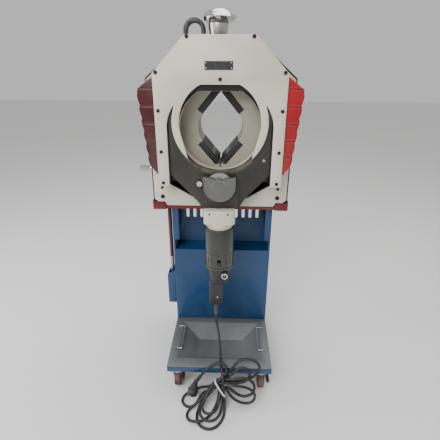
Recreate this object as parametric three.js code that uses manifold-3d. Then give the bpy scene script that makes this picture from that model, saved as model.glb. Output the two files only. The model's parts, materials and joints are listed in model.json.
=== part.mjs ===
// Mobile orbital pipe cutting machine: a motor-driven saw head that circles a clamped pipe,
// carried on a narrow trolley with a chip tray. Millimetres, +Z up, front towards -Y.
// The model is drawn with the cabinet's front face at Y = 0 and the floor at Z = 0, and the
// whole machine is then shifted so that its box stands on the origin.
import * as THREE from 'three';
import { mergeVertices } from 'three/addons/utils/BufferGeometryUtils.js';
import Module from 'manifold-3d';

const wasm = await Module();
wasm.setup();

// ---------------------------------------------------------------- driving dimensions
const GAP = 0.3;                 // air between pieces that touch

const TROLLEY_W = 380;           // width of cabinet, tray and base
const TRAY_LEN = 273;            // how far the tray stands out in front of the cabinet
const CABINET_DEPTH = 190;
const CABINET_TOP = 652;         // height of the cabinet's top above the floor
const SHEET = 2.5;               // cabinet sheet
const BASE_Z = 99;               // underside of the base frame, on its casters
const BASE_H = 23;
const BASE_RIM = 26;             // base frame left around the tray opening
const SHELF_Z = 458;             // top of the lower front panel and of the shelf behind it
const RECESS_DEPTH = 87;         // open tool recess above the lower front panel
const FLANGE_Z = 502;            // lower end of the two flanges beside the recess
const FLANGE_W = 25;
const SLOT_COUNT = 11;           // ventilation slots in the recess's back wall
const SLOT_PITCH = 28;
const SLOT_W = 11;
const SLOT_H = 46;
const SLOT_Z = 585;

const TRAY_T = 3;                // tray rim
const TRAY_RIM = 31;             // flat rim around the funnel
const TRAY_DEPTH = 41;
const TRAY_FLOOR_W = 176;
const TRAY_FLOOR_L = 97;
const TRAY_WALL = 2;

const WHEEL_R = 37.5;
const WHEEL_W = 24;
const CASTER_TRAIL = 12;
const CASTER_INSET = 34;         // swivel centre in from the base's sides
const CASTER_END_INSET = 33;     // and from its ends

const HEAD_X = -5;               // the head is bolted a little left of the trolley's middle
const BASEPLATE_TOP = -271.5;    // top of the red base plate, below the bore axis
const BASEPLATE_T = 14.2;
const BORE_Z = CABINET_TOP + GAP + BASEPLATE_T - BASEPLATE_TOP;   // bore axis above the floor
const BORE_R = 132;              // bore of the rotor
const FRONT_Y = -123;            // front face of the orbiting cover
const COVER_T = 10;
const ROTOR_BACK_Y = -66;        // back face of the rotor
const SLIDE_T = 22.4;            // thickness of the slide between cover and rotor plate
const PLATE_Y = -60;             // front face of the fixed front plate
const PLATE_T = 8;
const HOUSING_BACK_Y = 110;
const HOUSING_W = 476;
const HOUSING_WALL = 8;
const HOUSING_TOP = 255;         // above the bore axis
const SHOULDER_Z = 150;          // where the housing's top corners start to slope
const SHOULDER_TOP_W = 230;
const BEARING_PLAY = 0.5;        // running play between rotor hub and front plate
const HUB_WALL = 4.5;

const COVER_W = 400;
const COVER_TOP = 264;
const COVER_TOP_W = 204;
const COVER_SHOULDER = 164;
const LEG_BOTTOM = -179;
const LEG_W = 35;
const COVER_BORE_R = 126.5;      // opening in the cover, centred above the bore axis
const SADDLE_R = 149;            // outer edge of the cover's two crescent arms
const SADDLE_Z = 21;
const SLIDE_PLAY = 0.5;

const JAW_FRONT_Y = -44;
const JAW_BACK_Y = 80;
const JAW_W = 133;               // one jaw, from its split face to its outer side
const JAW_TOP = 158;
const JAW_BOTTOM = -178;
const JAW_WALL = 14;
const JAW_GAP = 4;               // split between the closed jaws
const INSERT_L = 88;
const INSERT_T = 22;
const INSERT_APEX = 112;         // gripping faces meet this far above and below the bore axis
const INSERT_ANGLE = 50;         // degrees from horizontal
const JAW_SIDE_R = 74;           // round recess between the two inserts of a jaw
const SPINDLE_Z = -156;
const SPINDLE_Y = 18;
const SPINDLE_R = 10;
const STUB_R = 11.5;
const STUB_L = 56;
const ROD_R = 8;
const ROD_Z = 138;
const ROD_PLAY = 0.4;

const MOTOR_Y = -115;            // motor axis
const MOTOR_R = 50;
const BLADE_Z = -172;            // blade centre below the bore axis
const BLADE_R = 45;
const GUARD_R = 52;
const BOSS_Y = -128;             // front of the gear boss on the slide
const GUARD_Y = -146;            // front of the blade cover
const COLLAR_TOP = -254;
const COLLAR_BOTTOM = -323;
const MOTOR_BOTTOM = -479;
const CAP_BOTTOM = -536;
const HANDLE_BOTTOM = -640;
const BOOT_BOTTOM = -700;
const HANDLE_SHIFT = -12;        // the motor's switch handle sits left of the motor axis
const CORD_R = 4.75;

// ---------------------------------------------------------------- finishes
function finish(color, roughness, metalness) {
  return new THREE.MeshStandardMaterial({ color, roughness, metalness });
}
const IVORY = () => finish(0xd3cdbe, 0.45, 0.0);
const BLUE = () => finish(0x00467c, 0.4, 0.0);
const GREY = () => finish(0x7d8380, 0.5, 0.1);
const RED = () => finish(0xb01020, 0.4, 0.0);
const BLACK = () => finish(0x16171a, 0.55, 0.0);
const OLIVE = () => finish(0x2b2c27, 0.5, 0.2);
const STEEL = () => finish(0xa8a9a6, 0.3, 0.9);
const TAUPE = () => finish(0x97917f, 0.45, 0.4);
const RUBBER = () => finish(0x141414, 0.8, 0.0);
const WHEEL = () => finish(0x5a2a26, 0.6, 0.0);

// ---------------------------------------------------------------- solid helpers
function toSolid(geometry) {
  const g = geometry.index ? geometry.clone() : geometry;
  g.deleteAttribute('normal');
  g.deleteAttribute('uv');
  const merged = mergeVertices(g, 1e-4);
  return new wasm.Manifold(new wasm.Mesh({
    numProp: 3,
    vertProperties: new Float32Array(merged.attributes.position.array),
    triVerts: new Uint32Array(merged.index.array),
  }));
}

function toGeometry(solid) {
  const mesh = solid.getMesh();
  const geometry = new THREE.BufferGeometry();
  geometry.setAttribute('position', new THREE.BufferAttribute(new Float32Array(mesh.vertProperties), 3));
  geometry.setIndex(new THREE.BufferAttribute(new Uint32Array(mesh.triVerts), 1));
  geometry.computeVertexNormals();
  return geometry;
}

function box(x0, x1, y0, y1, z0, z1) {
  const g = new THREE.BoxGeometry(x1 - x0, y1 - y0, z1 - z0);
  g.translate((x0 + x1) / 2, (y0 + y1) / 2, (z0 + z1) / 2);
  return toSolid(g);
}

// A cylinder or cone along 'x', 'y' or 'z', from one place on that axis to another.
function rod(axis, from, to, centre, r0, r1 = r0, sides = 24) {
  const g = new THREE.CylinderGeometry(r1, r0, to - from, sides);
  g.translate(0, (from + to) / 2, 0);
  if (axis === 'z') g.rotateX(Math.PI / 2);
  if (axis === 'x') g.rotateZ(-Math.PI / 2);
  g.translate(...centre);
  return toSolid(g);
}

// An outline in x and z, extruded from y0 to y1.
function plate(outline, y0, y1) {
  const shape = outline instanceof THREE.Shape ? outline : shapeOf(outline);
  const g = new THREE.ExtrudeGeometry(shape, { depth: y1 - y0, bevelEnabled: false, curveSegments: 40 });
  g.rotateX(Math.PI / 2);
  g.translate(0, y1, 0);
  return toSolid(g);
}

function shapeOf(points) {
  return new THREE.Shape(points.map(([x, y]) => new THREE.Vector2(x, y)));
}

// Points along an arc in x and z, angles in degrees.
function arc(cx, cz, r, from, to, steps) {
  const points = [];
  for (let i = 0; i <= steps; i++) {
    const a = THREE.MathUtils.degToRad(from + (to - from) * i / steps);
    points.push([cx + r * Math.cos(a), cz + r * Math.sin(a)]);
  }
  return points;
}

function disc(cx, cz, r, y0, y1, sides = 64) {
  return rod('y', y0, y1, [cx, 0, cz], r, r, sides);
}

function mirrorX(points) {
  return points.map(([x, z]) => [-x, z]).reverse();
}

// The solid between two rectangles [x0, x1, y0, y1] at two heights.
function frustum(low, zLow, high, zHigh) {
  const corner = (r, z) => [[r[0], r[2], z], [r[1], r[2], z], [r[1], r[3], z], [r[0], r[3], z]];
  const p = [...corner(low, zLow), ...corner(high, zHigh)].flat();
  const faces = [0, 2, 1, 0, 3, 2, 4, 5, 6, 4, 6, 7, 0, 1, 5, 0, 5, 4,
    1, 2, 6, 1, 6, 5, 2, 3, 7, 2, 7, 6, 3, 0, 4, 3, 4, 7];
  const g = new THREE.BufferGeometry();
  g.setAttribute('position', new THREE.BufferAttribute(new Float32Array(p), 3));
  g.setIndex(faces);
  return toSolid(g);
}

// A turned shape about the Z axis from [radius, height] pairs that start and end on the axis.
function turned(profile, centre, sides = 24) {
  const g = new THREE.LatheGeometry(profile.map(([r, h]) => new THREE.Vector2(r, h)), sides);
  g.rotateX(Math.PI / 2);
  g.translate(...centre);
  return toSolid(g);
}

const machine = new THREE.Group();
const head = new THREE.Group();
head.position.set(HEAD_X, 0, BORE_Z);
machine.add(head);

function piece(group, name, solid, material) {
  const mesh = new THREE.Mesh(toGeometry(solid), material);
  mesh.name = name;
  group.add(mesh);
  return mesh;
}

// ---------------------------------------------------------------- trolley
const HALF_W = TROLLEY_W / 2;
const BASE_TOP = BASE_Z + BASE_H;
const CABINET_Z = BASE_TOP + GAP;
const BACK_Y = CABINET_DEPTH;
const CASTER_X = HALF_W - CASTER_INSET;
const CASTER_Y = { front: -TRAY_LEN + CASTER_END_INSET, rear: BACK_Y - CASTER_END_INSET };
const PAD_H = 4;
const PAD_R = 30;

function baseFrame() {
  let solid = box(-HALF_W, HALF_W, -TRAY_LEN, BACK_Y, BASE_Z, BASE_TOP);
  solid = solid.subtract(box(-HALF_W + BASE_RIM, HALF_W - BASE_RIM, -TRAY_LEN + BASE_RIM, -BASE_RIM,
    BASE_Z - 1, BASE_TOP + 1));
  solid = solid.subtract(box(-HALF_W + 4, HALF_W - 4, 4, BACK_Y - 4, BASE_Z + 4, BASE_TOP + 1));
  for (const x of [-CASTER_X, CASTER_X]) {
    for (const y of [CASTER_Y.front, CASTER_Y.rear]) {
      solid = solid.add(box(x - PAD_R, x + PAD_R, y - PAD_R, y + PAD_R, BASE_Z - PAD_H, BASE_Z + 1));
    }
  }
  piece(machine, 'base_frame', solid, BLUE());
}

function chipTray() {
  const z0 = BASE_TOP + GAP;
  const z1 = z0 + TRAY_T;
  const midY = -TRAY_LEN / 2;
  const open = [-HALF_W + TRAY_RIM, HALF_W - TRAY_RIM, -TRAY_LEN + TRAY_RIM + 10, -TRAY_RIM];
  const floor = [-TRAY_FLOOR_W / 2, TRAY_FLOOR_W / 2, midY - TRAY_FLOOR_L / 2, midY + TRAY_FLOOR_L / 2];
  const grow = (r, d) => [r[0] - d, r[1] + d, r[2] - d, r[3] + d];
  let solid = box(-HALF_W, HALF_W, -TRAY_LEN, -GAP, z0, z1);
  solid = solid.add(frustum(grow(floor, TRAY_WALL), z1 - TRAY_DEPTH - TRAY_WALL, grow(open, TRAY_WALL), z1));
  const rise = 1;
  const slope = rise / TRAY_DEPTH;
  const above = open.map((v, i) => v + (v - floor[i]) * slope);
  solid = solid.subtract(frustum(floor, z1 - TRAY_DEPTH, above, z1 + rise));
  piece(machine, 'chip_tray', solid, GREY());
}

const HANDLE_WIRE_R = 2.5;
const BAIL_X = HALF_W - 17;
const BAIL_Y0 = -186;
const BAIL_Y1 = -60;
const BAIL_REACH = 26;

// A wire bail lying flat on the tray rim, its two legs turning in small eyes.
function trayHandle(name, side) {
  const z = BASE_TOP + GAP + TRAY_T + GAP + HANDLE_WIRE_R;
  const x = side * BAIL_X;
  const inner = side * (BAIL_X - BAIL_REACH);
  const r = HANDLE_WIRE_R;
  const lo = Math.min(x, inner);
  const hi = Math.max(x, inner);
  let solid = rod('y', BAIL_Y0, BAIL_Y1, [inner, 0, z], r, r, 10);
  solid = solid.add(rod('x', lo, hi, [0, BAIL_Y0, z], r, r, 10));
  solid = solid.add(rod('x', lo, hi, [0, BAIL_Y1, z], r, r, 10));
  solid = solid.add(rod('y', BAIL_Y0 - 8, BAIL_Y0 + 1, [x, 0, z], r, r, 10));
  solid = solid.add(rod('y', BAIL_Y1 - 1, BAIL_Y1 + 8, [x, 0, z], r, r, 10));
  piece(machine, name, solid, STEEL());
}

function cabinet() {
  let shell = box(-HALF_W, HALF_W, 0, BACK_Y, CABINET_Z, CABINET_TOP);
  shell = shell.subtract(box(-HALF_W + SHEET, HALF_W - SHEET, SHEET, BACK_Y + 1, CABINET_Z + SHEET,
    CABINET_TOP - SHEET));
  const flangeX = HALF_W - FLANGE_W;
  const lipX = HALF_W - 3 * SHEET;
  shell = shell.subtract(box(-flangeX, flangeX, -1, SHEET + 1, SHELF_Z, CABINET_TOP - 14));
  shell = shell.subtract(box(-lipX, lipX, -1, SHEET + 1, SHELF_Z, FLANGE_Z));
  piece(machine, 'cabinet_shell', shell, BLUE());

  // Shelf and slotted wall of the recess, bent from one sheet.
  const inX = HALF_W - SHEET - GAP;
  const wallY = RECESS_DEPTH;
  let liner = box(-inX, inX, SHEET + GAP, wallY + SHEET, SHELF_Z - SHEET, SHELF_Z);
  liner = liner.add(box(-inX, inX, wallY, wallY + SHEET, SHELF_Z - SHEET, CABINET_TOP - SHEET - GAP));
  const endR = SLOT_W / 2;
  for (let i = 0; i < SLOT_COUNT; i++) {
    const x = (i - (SLOT_COUNT - 1) / 2) * SLOT_PITCH;
    const outline = [...arc(x, SLOT_Z + SLOT_H / 2 - endR, endR, 0, 180, 4),
      ...arc(x, SLOT_Z - SLOT_H / 2 + endR, endR, 180, 360, 4)];
    liner = liner.subtract(plate(outline, wallY - 1, wallY + SHEET + 1));
  }
  piece(machine, 'recess_liner', liner, BLUE());
}

const POCKET = { x0: -HALF_W - 36, y0: 18, y1: 74, z0: 190, z1: 337, wall: 1.5 };
const CRANK_X = -HALF_W - 17;
const CRANK_Y = 46;
const CRANK_R = 8;

function crankAndPocket() {
  const p = POCKET;
  const outline = [[p.x0, p.z0], [-HALF_W - GAP, p.z0], [-HALF_W - GAP, p.z1 + 14], [p.x0 + 8, p.z1],
    [p.x0, p.z1 - 12]];
  let pocket = plate(outline, p.y0, p.y1);
  pocket = pocket.subtract(box(p.x0 + p.wall, -HALF_W - GAP - p.wall, p.y0 + p.wall, p.y1 - p.wall,
    p.z0 + p.wall, p.z1 + 40));
  piece(machine, 'tool_pocket', pocket, BLUE());

  const ferruleTop = 404;
  let shaft = rod('z', p.z0 + p.wall + GAP, ferruleTop, [CRANK_X, CRANK_Y, 0], CRANK_R - 2, CRANK_R - 2, 12);
  shaft = shaft.add(rod('z', ferruleTop - 61, ferruleTop, [CRANK_X, CRANK_Y, 0], CRANK_R, CRANK_R, 16));
  piece(machine, 'crank_shaft', shaft, STEEL());
  const grip = rod('z', ferruleTop + GAP, CABINET_TOP - 4, [CRANK_X, CRANK_Y, 0], CRANK_R, CRANK_R, 16);
  piece(machine, 'crank_grip', grip, finish(0x5a0a12, 0.4, 0.0));
}

const FORK_T = 3;
const AXLE_R = 4;
const AXLE_PLAY = 0.4;
const CASTER_TOP = BASE_Z - PAD_H - GAP;
const FORK_IN = WHEEL_W / 2 + 1.5;
const HEAD_BEARING_H = 14;

function caster(label, x, y, hasBrake) {
  const wheelY = y + CASTER_TRAIL;
  let fork = rod('z', CASTER_TOP - HEAD_BEARING_H, CASTER_TOP, [x, y, 0], 22, 18, 20);
  fork = fork.add(box(x - FORK_IN - FORK_T, x + FORK_IN + FORK_T, y - 20, y + 26,
    CASTER_TOP - HEAD_BEARING_H, CASTER_TOP - HEAD_BEARING_H + 4));
  for (const s of [-1, 1]) {
    const x0 = s < 0 ? x - FORK_IN - FORK_T : x + FORK_IN;
    const legZ = [[y - 20, CASTER_TOP - 10], [y + 26, CASTER_TOP - 10], [wheelY + 9, WHEEL_R - 9],
      [wheelY - 9, WHEEL_R - 9]];
    const leg = new THREE.ExtrudeGeometry(shapeOf(legZ), { depth: FORK_T, bevelEnabled: false });
    leg.applyMatrix4(new THREE.Matrix4().set(0, 0, 1, x0, 1, 0, 0, 0, 0, 1, 0, 0, 0, 0, 0, 1));
    fork = fork.add(toSolid(leg));
  }
  fork = fork.add(rod('x', x - FORK_IN - FORK_T - 3, x + FORK_IN + FORK_T + 3, [0, wheelY, WHEEL_R],
    AXLE_R, AXLE_R, 12));
  piece(machine, `caster_fork_${label}`, fork, STEEL());

  const half = WHEEL_W / 2;
  const profile = [[AXLE_R + AXLE_PLAY, -half], [WHEEL_R - 3, -half], [WHEEL_R, -half + 3],
    [WHEEL_R, half - 3], [WHEEL_R - 3, half], [AXLE_R + AXLE_PLAY, half], [AXLE_R + AXLE_PLAY, -half]];
  const g = new THREE.LatheGeometry(profile.map(([r, h]) => new THREE.Vector2(r, h)), 32);
  g.rotateZ(-Math.PI / 2);
  g.translate(x, wheelY, WHEEL_R);
  piece(machine, `caster_wheel_${label}`, toSolid(g), WHEEL());

  if (hasBrake) {
    const px = x + FORK_IN + FORK_T + GAP;
    const outline = [[wheelY - 50, 62], [wheelY - 22, 58], [wheelY - 4, 66], [wheelY - 4, 74],
      [wheelY - 26, 70], [wheelY - 50, 72]];
    const pedal = new THREE.ExtrudeGeometry(shapeOf(outline), { depth: 11, bevelEnabled: false });
    pedal.applyMatrix4(new THREE.Matrix4().set(0, 0, 1, px, 1, 0, 0, 0, 0, 1, 0, 0, 0, 0, 0, 1));
    piece(machine, `brake_pedal_${label}`, toSolid(pedal), BLACK());
  }
}

// ---------------------------------------------------------------- fixed part of the head
const HOUSING_BOTTOM = BASEPLATE_TOP + GAP;
const HOUSING_HALF = HOUSING_W / 2;
const PLATE_BACK = PLATE_Y + PLATE_T;
const HOUSING_FRONT = PLATE_BACK + GAP;
const HUB_R = BORE_R + HUB_WALL;

function basePlate() {
  const z0 = BASEPLATE_TOP - BASEPLATE_T;
  let solid = box(-HOUSING_HALF, HOUSING_HALF, PLATE_BACK + GAP, HOUSING_BACK_Y + 8, z0, BASEPLATE_TOP);
  for (const s of [-1, 1]) {
    const outline = [[s * (HOUSING_HALF - 44), z0], [s * (HOUSING_HALF + 2), z0], [s * (HOUSING_HALF + 2), -252],
      [s * (HOUSING_HALF - 10), -257], [s * (HOUSING_HALF - 36), -257], [s * (HOUSING_HALF - 44), -264]];
    const block = plate(s > 0 ? outline : outline.reverse(), PLATE_Y, PLATE_Y + 26);
    const relief = box(-HOUSING_HALF - 1, HOUSING_HALF + 1, HOUSING_FRONT - GAP, HOUSING_BACK_Y,
      BASEPLATE_TOP, BASEPLATE_TOP + 60);
    solid = solid.add(block.subtract(relief));
  }
  piece(head, 'base_plate', solid, RED());
}

function octagon(half, bottom, shoulder, topHalf, top) {
  return [[-half, bottom], [half, bottom], [half, shoulder], [topHalf, top], [-topHalf, top], [-half, shoulder]];
}

function frontPlate() {
  const half = HOUSING_HALF - 6;
  const corner = 44;
  const bottom = BASEPLATE_TOP + GAP + 1;
  const step = 14;
  const outline = [[-half + corner, bottom], [half - corner, bottom], [half - corner + 8, bottom + step],
    [half - 12, bottom + step], [half, bottom + step + 10],
    [half, SHOULDER_Z - 4], [SHOULDER_TOP_W / 2 - 4, HOUSING_TOP - 6],
    [-SHOULDER_TOP_W / 2 + 4, HOUSING_TOP - 6], [-half, SHOULDER_Z - 4],
    [-half, bottom + step + 10], [-half + 12, bottom + step], [-half + corner - 8, bottom + step]];
  let solid = plate(outline, PLATE_Y, PLATE_BACK);
  solid = solid.subtract(disc(0, 0, HUB_R + BEARING_PLAY, PLATE_Y - 1, PLATE_BACK + 1));
  const funnel = [[-175, -191], [-98, -236], [-88, -240], [-64, -276], [64, -276], [88, -240], [98, -236],
    [175, -191], [175, -160], [-175, -160]];
  solid = solid.subtract(plate(funnel, PLATE_Y - 1, PLATE_BACK + 1));
  piece(head, 'front_plate', solid, IVORY());
}

function rearHousing() {
  const w = HOUSING_WALL;
  const outer = octagon(HOUSING_HALF, HOUSING_BOTTOM, SHOULDER_Z, SHOULDER_TOP_W / 2, HOUSING_TOP);
  const inner = octagon(HOUSING_HALF - w, HOUSING_BOTTOM + w, SHOULDER_Z - 3, SHOULDER_TOP_W / 2 - 3,
    HOUSING_TOP - w);
  let solid = plate(outer, HOUSING_FRONT, HOUSING_BACK_Y);
  solid = solid.subtract(plate(inner, HOUSING_FRONT - 1, HOUSING_BACK_Y - w));
  solid = solid.subtract(disc(0, 0, BORE_R, HOUSING_BACK_Y - w - 1, HOUSING_BACK_Y + 1));
  solid = solid.subtract(rod('x', -HOUSING_HALF - 1, -HOUSING_HALF + w + 1, [0, SPINDLE_Y, SPINDLE_Z],
    BUSH_R + GAP, BUSH_R + GAP, 24));
  piece(head, 'rear_housing', solid, BLACK());
}

const BUSH_R = 17;
const SPINDLE_PLAY = 0.4;

function spindleParts() {
  const inside = HOUSING_HALF - HOUSING_WALL;
  const c = [0, SPINDLE_Y, SPINDLE_Z];
  const bore = SPINDLE_R + SPINDLE_PLAY;
  let bushLeft = rod('x', -HOUSING_HALF - 6, -inside + 8, c, BUSH_R, BUSH_R, 24);
  bushLeft = bushLeft.add(rod('x', -HOUSING_HALF - 6, -HOUSING_HALF - GAP, c, BUSH_R + 6, BUSH_R + 6, 24));
  bushLeft = bushLeft.subtract(rod('x', -HOUSING_HALF - 10, -inside + 20, c, bore, bore, 24));
  piece(head, 'spindle_bush_left', bushLeft, STEEL());

  let bushRight = rod('x', inside - 14, inside - GAP, c, BUSH_R, BUSH_R, 24);
  bushRight = bushRight.subtract(rod('x', inside - 20, inside + 1, c, bore, bore, 24));
  piece(head, 'spindle_bush_right', bushRight, STEEL());

  let spindle = rod('x', -HOUSING_HALF - 20, inside - 2, c, SPINDLE_R, SPINDLE_R, 20);
  spindle = spindle.add(rod('x', -HOUSING_HALF - STUB_L, -HOUSING_HALF - 6 - GAP, c, STUB_R, STUB_R, 6));
  spindle = spindle.add(rod('x', -HOUSING_HALF - 20, -HOUSING_HALF - 6 - GAP, c, STUB_R + 2, STUB_R + 2, 20));
  piece(head, 'vise_spindle', spindle, STEEL());

  const rodLength = inside - GAP;
  piece(head, 'guide_rod_upper', rod('x', -rodLength, rodLength, [0, SPINDLE_Y, ROD_Z], ROD_R, ROD_R, 16),
    STEEL());
  piece(head, 'guide_rod_lower', rod('x', -rodLength, rodLength, [0, SPINDLE_Y + 44, SPINDLE_Z], ROD_R, ROD_R,
    16), STEEL());
}

// ---------------------------------------------------------------- vise jaws
const tilt = THREE.MathUtils.degToRad(INSERT_ANGLE);

// The four corners of an insert's end face, for the right side; up is 1 for the upper insert.
function insertOutline(up, grow = 0) {
  const along = [Math.cos(tilt), -up * Math.sin(tilt)];
  const out = [Math.sin(tilt), up * Math.cos(tilt)];
  const start = [JAW_GAP / 2, up * (INSERT_APEX - (JAW_GAP / 2) * Math.tan(tilt))];
  const at = (a, o) => [start[0] + along[0] * a + out[0] * o, start[1] + along[1] * a + out[1] * o];
  const far = INSERT_L + grow;
  const thick = INSERT_T + grow;
  return [at(0, 0), at(far, 0), at(far, thick), at(0, thick)];
}

function jawOutline() {
  const lower = insertOutline(-1, GAP);
  const upper = insertOutline(1, GAP);
  const side = Math.asin(Math.min(1, Math.abs(upper[1][1]) / JAW_SIDE_R)) * 180 / Math.PI;
  const inner = JAW_GAP / 2;
  return [[inner, JAW_BOTTOM], [JAW_W, JAW_BOTTOM], [JAW_W, JAW_TOP], [inner, JAW_TOP], [inner, upper[3][1]],
    upper[3], upper[2], upper[1], ...arc(0, 0, JAW_SIDE_R, side, -side, 8), lower[1], lower[2], lower[3],
    [inner, lower[3][1]]];
}

// Each jaw is an open casting: a front wall with the V, and a band of wall behind it.
function jaw(name, side) {
  const outline = jawOutline();
  let solid = plate(outline, JAW_FRONT_Y, JAW_BACK_Y);
  const room = JAW_FRONT_Y + JAW_WALL;
  const upper = insertOutline(1);
  const edgeX = upper[2][0] + JAW_WALL;
  const hollow = [[edgeX + 8, -100], [JAW_W + 1, -100], [JAW_W + 1, 100], [edgeX + 8, 100]];
  solid = solid.subtract(plate(hollow, room, JAW_BACK_Y + 1));
  const spindleHole = SPINDLE_R + SPINDLE_PLAY;
  const holes = [[SPINDLE_Y, SPINDLE_Z, spindleHole], [SPINDLE_Y, ROD_Z, ROD_R + ROD_PLAY],
    [SPINDLE_Y + 44, SPINDLE_Z, ROD_R + ROD_PLAY]];
  for (const [y, z, r] of holes) {
    solid = solid.subtract(rod('x', -1, JAW_W + 1, [0, y, z], r, r, 20));
  }
  piece(head, name, side > 0 ? solid : solid.mirror([1, 0, 0]), TAUPE());
}

// A gripping insert: a hardened bar with ribs running round the pipe on its gripping face.
const RIB_COUNT = 4;
const RIB_DEPTH = 3;

function insert(name, side, up) {
  const y0 = JAW_FRONT_Y + 3;
  const y1 = JAW_BACK_Y - 2;
  let solid = plate(up > 0 ? insertOutline(up).reverse() : insertOutline(up), y0, y1);
  const pitch = (y1 - y0) / RIB_COUNT;
  const o = insertOutline(up);
  const n = [-Math.sin(tilt), -up * Math.cos(tilt)];
  for (let i = 0; i < RIB_COUNT; i++) {
    const a = y0 + pitch * i + pitch * 0.55;
    const b = y0 + pitch * (i + 1) - (i === RIB_COUNT - 1 ? 0 : 4);
    const groove = [[o[0][0] + n[0] * 5, o[0][1] + n[1] * 5], [o[1][0] + n[0] * 5, o[1][1] + n[1] * 5],
      [o[1][0] - n[0] * RIB_DEPTH, o[1][1] - n[1] * RIB_DEPTH],
      [o[0][0] - n[0] * RIB_DEPTH, o[0][1] - n[1] * RIB_DEPTH]];
    const spread = groove.map(([x, z], k) => {
      const s = (k === 0 || k === 3) ? -2 : 2;
      return [x + Math.cos(tilt) * s, z - up * Math.sin(tilt) * s];
    });
    if (i < RIB_COUNT - 1) solid = solid.subtract(plate(up > 0 ? spread.reverse() : spread, a, b));
  }
  piece(head, name, side > 0 ? solid : solid.mirror([1, 0, 0]), BLACK());
}

// ---------------------------------------------------------------- rotor
const COVER_BACK = FRONT_Y + COVER_T;
const SLIDE_FRONT = COVER_BACK + GAP;
const SLIDE_BACK = SLIDE_FRONT + SLIDE_T;
const ROTOR_PLATE_FRONT = SLIDE_BACK + GAP;
const LEG_IN = COVER_W / 2 - LEG_W;
const WINDOW_ARC_R = 110;
const WINDOW_ARC_Z = 5;
const OPENING_TOP = 133;         // flat at the top of the cover's opening
const BORE_FLAT = 115;           // flat at the top of the rotor's bore
const ARM_TIP = [100, -90];

function coverOpening() {
  const flatHalf = Math.sqrt(COVER_BORE_R ** 2 - (OPENING_TOP - SADDLE_Z) ** 2);
  const from = Math.atan2(OPENING_TOP - SADDLE_Z, flatHalf) * 180 / Math.PI;
  const right = arc(0, SADDLE_Z, COVER_BORE_R, -17, from, 22);
  const low = [[ARM_TIP[0] + 1, ARM_TIP[1] - 1]];
  return [...low, ...right, ...mirrorX([...low, ...right])];
}

function coverWindow() {
  const cx = LEG_IN - WINDOW_ARC_R;
  const side = arc(cx, WINDOW_ARC_Z, WINDOW_ARC_R, 0, 62, 12);
  const right = [[LEG_IN, LEG_BOTTOM - 1], ...side];
  return [...right, ...mirrorX(right)];
}

function frontCover() {
  const outline = [[COVER_W / 2, LEG_BOTTOM], [COVER_W / 2, COVER_SHOULDER], [COVER_TOP_W / 2, COVER_TOP],
    [-COVER_TOP_W / 2, COVER_TOP], [-COVER_W / 2, COVER_SHOULDER], [-COVER_W / 2, LEG_BOTTOM]];
  let solid = plate(outline, FRONT_Y, COVER_BACK);
  const ring = disc(0, SADDLE_Z, SADDLE_R, FRONT_Y - 2, COVER_BACK + 2, 96);
  const window = plate(coverWindow(), FRONT_Y - 1, COVER_BACK + 1).subtract(ring);
  solid = solid.subtract(window);
  solid = solid.subtract(plate(coverOpening(), FRONT_Y - 1, COVER_BACK + 1));
  solid = solid.subtract(box(-ARM_TIP[0], ARM_TIP[0], FRONT_Y - 1, COVER_BACK + 1, LEG_BOTTOM - 1, ARM_TIP[1]));
  piece(head, 'front_cover', solid, IVORY());
}

const GRIP_TOP = [200, 160];
const GRIP_PEAK = [250, 114];
const GRIP_END = [226, -115];
const GRIP_TIP = [201, -146];
const SCALLOPS = 6;
const SCALLOP_RISE = 4;

// Outer side of a hand grip: finger scallops from the peak down to the end.
function gripOutline(grow = 0) {
  const points = [[GRIP_TOP[0], GRIP_TIP[1] - grow], [GRIP_TIP[0] + grow, GRIP_TIP[1] - grow],
    [GRIP_END[0] + grow, GRIP_END[1] - grow * 0.4]];
  const dx = (GRIP_PEAK[0] - GRIP_END[0]) / SCALLOPS;
  const dz = (GRIP_PEAK[1] - GRIP_END[1]) / SCALLOPS;
  for (let i = 0; i < SCALLOPS; i++) {
    const x = GRIP_END[0] + dx * i + grow;
    const z = GRIP_END[1] + dz * i;
    points.push([x + dx * 0.25 + SCALLOP_RISE * 0.75, z + dz * 0.3]);
    points.push([x + dx * 0.6 + SCALLOP_RISE, z + dz * 0.65]);
    points.push([x + dx, z + dz * 0.98]);
  }
  points.push([GRIP_PEAK[0] + grow, GRIP_PEAK[1] + 6], [GRIP_TOP[0], GRIP_TOP[1] + grow]);
  return points;
}

const RAIL_IN = LEG_IN - 4;      // inner face of the slide's guide rails

function rotorBody() {
  const inset = 4;
  const half = COVER_W / 2 - inset;
  const z0 = LEG_BOTTOM + 8;
  const outer = octagon(half, z0, COVER_SHOULDER - inset, COVER_TOP_W / 2 - inset, COVER_TOP - inset);
  let solid = plate(outer, ROTOR_PLATE_FRONT, ROTOR_BACK_Y);
  const front = plate(outer, SLIDE_FRONT, ROTOR_PLATE_FRONT + 1);
  const channel = box(-RAIL_IN, RAIL_IN, SLIDE_FRONT - 1, ROTOR_PLATE_FRONT, z0 - 1, 112);
  solid = solid.add(front.subtract(channel));
  for (const s of [-1, 1]) {
    const points = gripOutline(6).map(([x, z]) => [x, z]);
    points[0][0] = half - 10;
    points[points.length - 1][0] = half - 10;
    const back = plate(s > 0 ? points : mirrorX(points), ROTOR_BACK_Y - 12, ROTOR_BACK_Y);
    solid = solid.add(back);
  }
  const hub = disc(0, 0, HUB_R, ROTOR_BACK_Y - 1, PLATE_BACK + GAP + 0.2, 64);
  solid = solid.add(hub);
  const bore = disc(0, 0, BORE_R, SLIDE_FRONT - 1, PLATE_BACK + 20, 64);
  const flat = box(-BORE_R, BORE_R, SLIDE_FRONT - 2, ROTOR_BACK_Y, BORE_FLAT, BORE_R + 5);
  solid = solid.subtract(bore.subtract(flat));
  piece(head, 'rotor_body', solid, OLIVE());
}

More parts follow.
